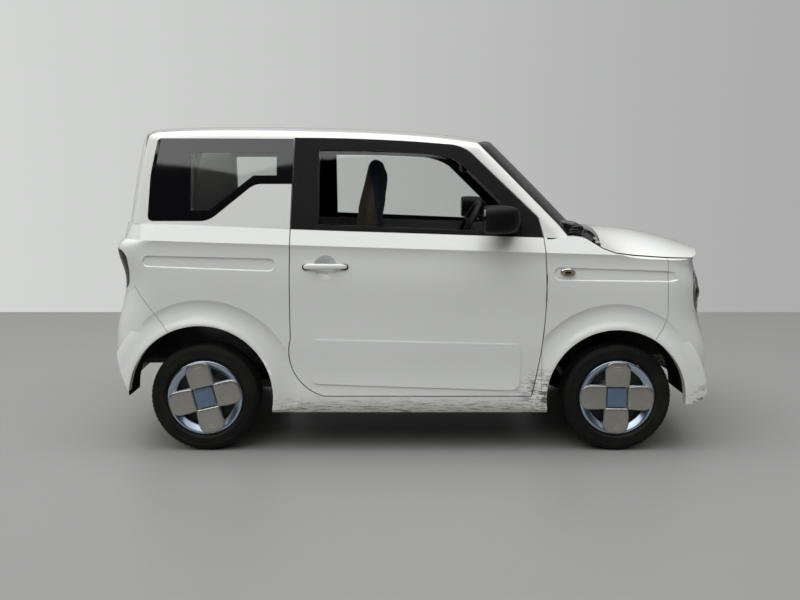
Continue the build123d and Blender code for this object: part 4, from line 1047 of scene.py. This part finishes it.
def press_seam(piece, inside, depth, width=0.010):
    """Pulls the surface in along seams: inside(co) gives the distance to the nearest seam."""
    for vert in piece.data.vertices:
        distance = inside(vert.co)
        if distance < width:
            vert.co -= vert.normal * depth * (1 - distance / width) ** 2


def upholster(piece):
    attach(piece, "body")


def build_seats():
    back = stuffed(loose_piece("seat_back_right", seat_back_mesh(), "seat_back"), 0.008, 0.009)
    cushion = stuffed(loose_piece("seat_cushion_right", seat_cushion_mesh(), "seat_fabric"), 0.008, 0.024)

    def back_seams(co):
        y = abs(co.y - SEAT_ORIGIN.y)
        z = co.z - SEAT_ORIGIN.z
        front = co.x > SEAT_ORIGIN.x - 0.268
        edge = abs(y - (0.150 if z < 0.56 else 0.150 - 0.5 * (z - 0.56)))
        across = min(abs(z - level) for level in (0.62, 0.30))
        return min(edge, across if y < 0.15 else 1) if front else abs(z - 0.60)

    def cushion_seams(co):
        y = abs(co.y - SEAT_ORIGIN.y)
        x = co.x - SEAT_ORIGIN.x
        if co.z < SEAT_ORIGIN.z + 0.06:
            return abs(co.z - SEAT_ORIGIN.z - 0.045)
        return min(abs(y - 0.145), abs(x - 0.05) if y < 0.145 else 1)
    press_seam(back, back_seams, 0.007)
    press_seam(cushion, cushion_seams, 0.007)
    for piece in (back, cushion):
        twin = bpy.data.objects.new(piece.name.replace("right", "left"),
                                    mirrored(piece.data, piece.data.name + "_left"))
        SCENE.collection.objects.link(twin)
        add_subdivision(twin)
        for part in (piece, twin):
            upholster(part)
    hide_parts("front_seats")
    cushion = stuffed(loose_piece("bench_cushion", bench_mesh("cushion"), "seat_fabric"), 0.010, 0.022)
    rest = stuffed(loose_piece("bench_back", bench_mesh("back"), "seat_fabric"), 0.010, 0.022)
    for piece in (cushion, rest):
        press_seam(piece, lambda co: min(abs(abs(co.y) - 0.235), abs(co.y)), 0.006)
        upholster(piece)
    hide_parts("rear_bench")


# ---------------------------------------------------------------- camera, light and floor
CAMERA_AT = (-0.0643, -5.265, 1.361)
CAMERA_TILT = 7.6736  # degrees below level
FLOOR_REACH = (-9, 9, -12, 3.95)  # the far edge sets the height of the horizon


def make_camera():
    data = bpy.data.cameras.new("camera")
    data.lens = 42.75
    data.sensor_width = 36
    data.clip_end = 60
    camera = bpy.data.objects.new("camera", data)
    SCENE.collection.objects.link(camera)
    camera.location = CAMERA_AT
    camera.rotation_euler = (math.radians(90 - CAMERA_TILT), 0, 0)
    SCENE.camera = camera


def make_top_light():
    """Large soft light above the car, a little to the camera's side."""
    data = bpy.data.lights.new("top", "AREA")
    data.shape = "RECTANGLE"
    data.size, data.size_y = 6.0, 2.2
    data.energy = 105
    data.color = (1, 0.99, 0.97)
    light = bpy.data.objects.new("top", data)
    light.location = (0, -0.6, 4.6)
    direction = Vector((0, -0.1, 0)) - Vector(light.location)
    light.rotation_euler = direction.to_track_quat("-Z", "Y").to_euler()
    SCENE.collection.objects.link(light)


def floor_material():
    n = Nodes("floor")
    patchy = n.noise(0.6, 4.0)
    base = n.mix(patchy, (0.262, 0.262, 0.252), (0.276, 0.276, 0.266))
    return n.finish(Base_Color=base, Roughness=n.ramp(n.noise(1.2, 2.0), 0.2, 0.8, 0.40, 0.44),
                    Normal=n.bump(n.noise(260.0, 3.0), 0.0002, 0.08))


def make_stage():
    mesh = bpy.data.meshes.new("floor")
    left, right, near, far = FLOOR_REACH
    mesh.from_pydata([(left, near, 0), (right, near, 0), (right, far, 0), (left, far, 0)], [], [(0, 1, 2, 3)])
    floor = bpy.data.objects.new("floor", mesh)
    SCENE.collection.objects.link(floor)
    mesh.materials.append(floor_material())


def make_world():
    """Pale backdrop. Its light is a bright wall over a dim lower room on the camera's side and a dimmer
    curtain behind, both stronger towards the car's tail."""
    world = bpy.data.worlds.new("studio")
    SCENE.world = world
    n = Nodes("studio", world)
    level = n.minus(n.z, n.times(n.math("ABSOLUTE", n.plus(n.x, 0.20)), 0.22))
    room = n.plus(n.ramp(level, 0.350, 0.356, 0.0, 1.35), n.ramp(level, 0.50, 0.90, 0.0, 0.85))
    near_side = n.ramp(n.y, 0.10, -0.25)
    curtain = n.ramp(n.z, 0.10, 0.80, 0.20, 0.85)
    light = n.plus(n.times(near_side, room), n.times(n.minus(1.0, near_side), curtain))
    light = n.times(light, n.ramp(n.x, -0.70, 0.70, 1.45, 0.62))
    seen = n.add("LightPath").outputs["Is Camera Ray"]
    # Painted light: the backdrop the camera sees is painted brighter towards the car's tail, as light falls
    # on the curtain; it lights nothing.
    backdrop = n.ramp(n.x, -0.55, 0.55, 0.68, 0.40)
    strength = n.plus(n.times(seen, backdrop), n.times(n.minus(1.0, seen), light))
    n.finish(Color=(0.985, 1.0, 0.985), Strength=strength)


dress_nodes()
build_wheels()
build_handles()
build_repeaters()
build_mirrors()
build_wipers()
build_scuttle_corners()
build_headlamps()
build_cabin_mirror()
build_steering_wheel()
build_seats()
make_camera()
make_stage()
make_world()
make_top_light()
SCENE.view_settings.view_transform = "Standard"
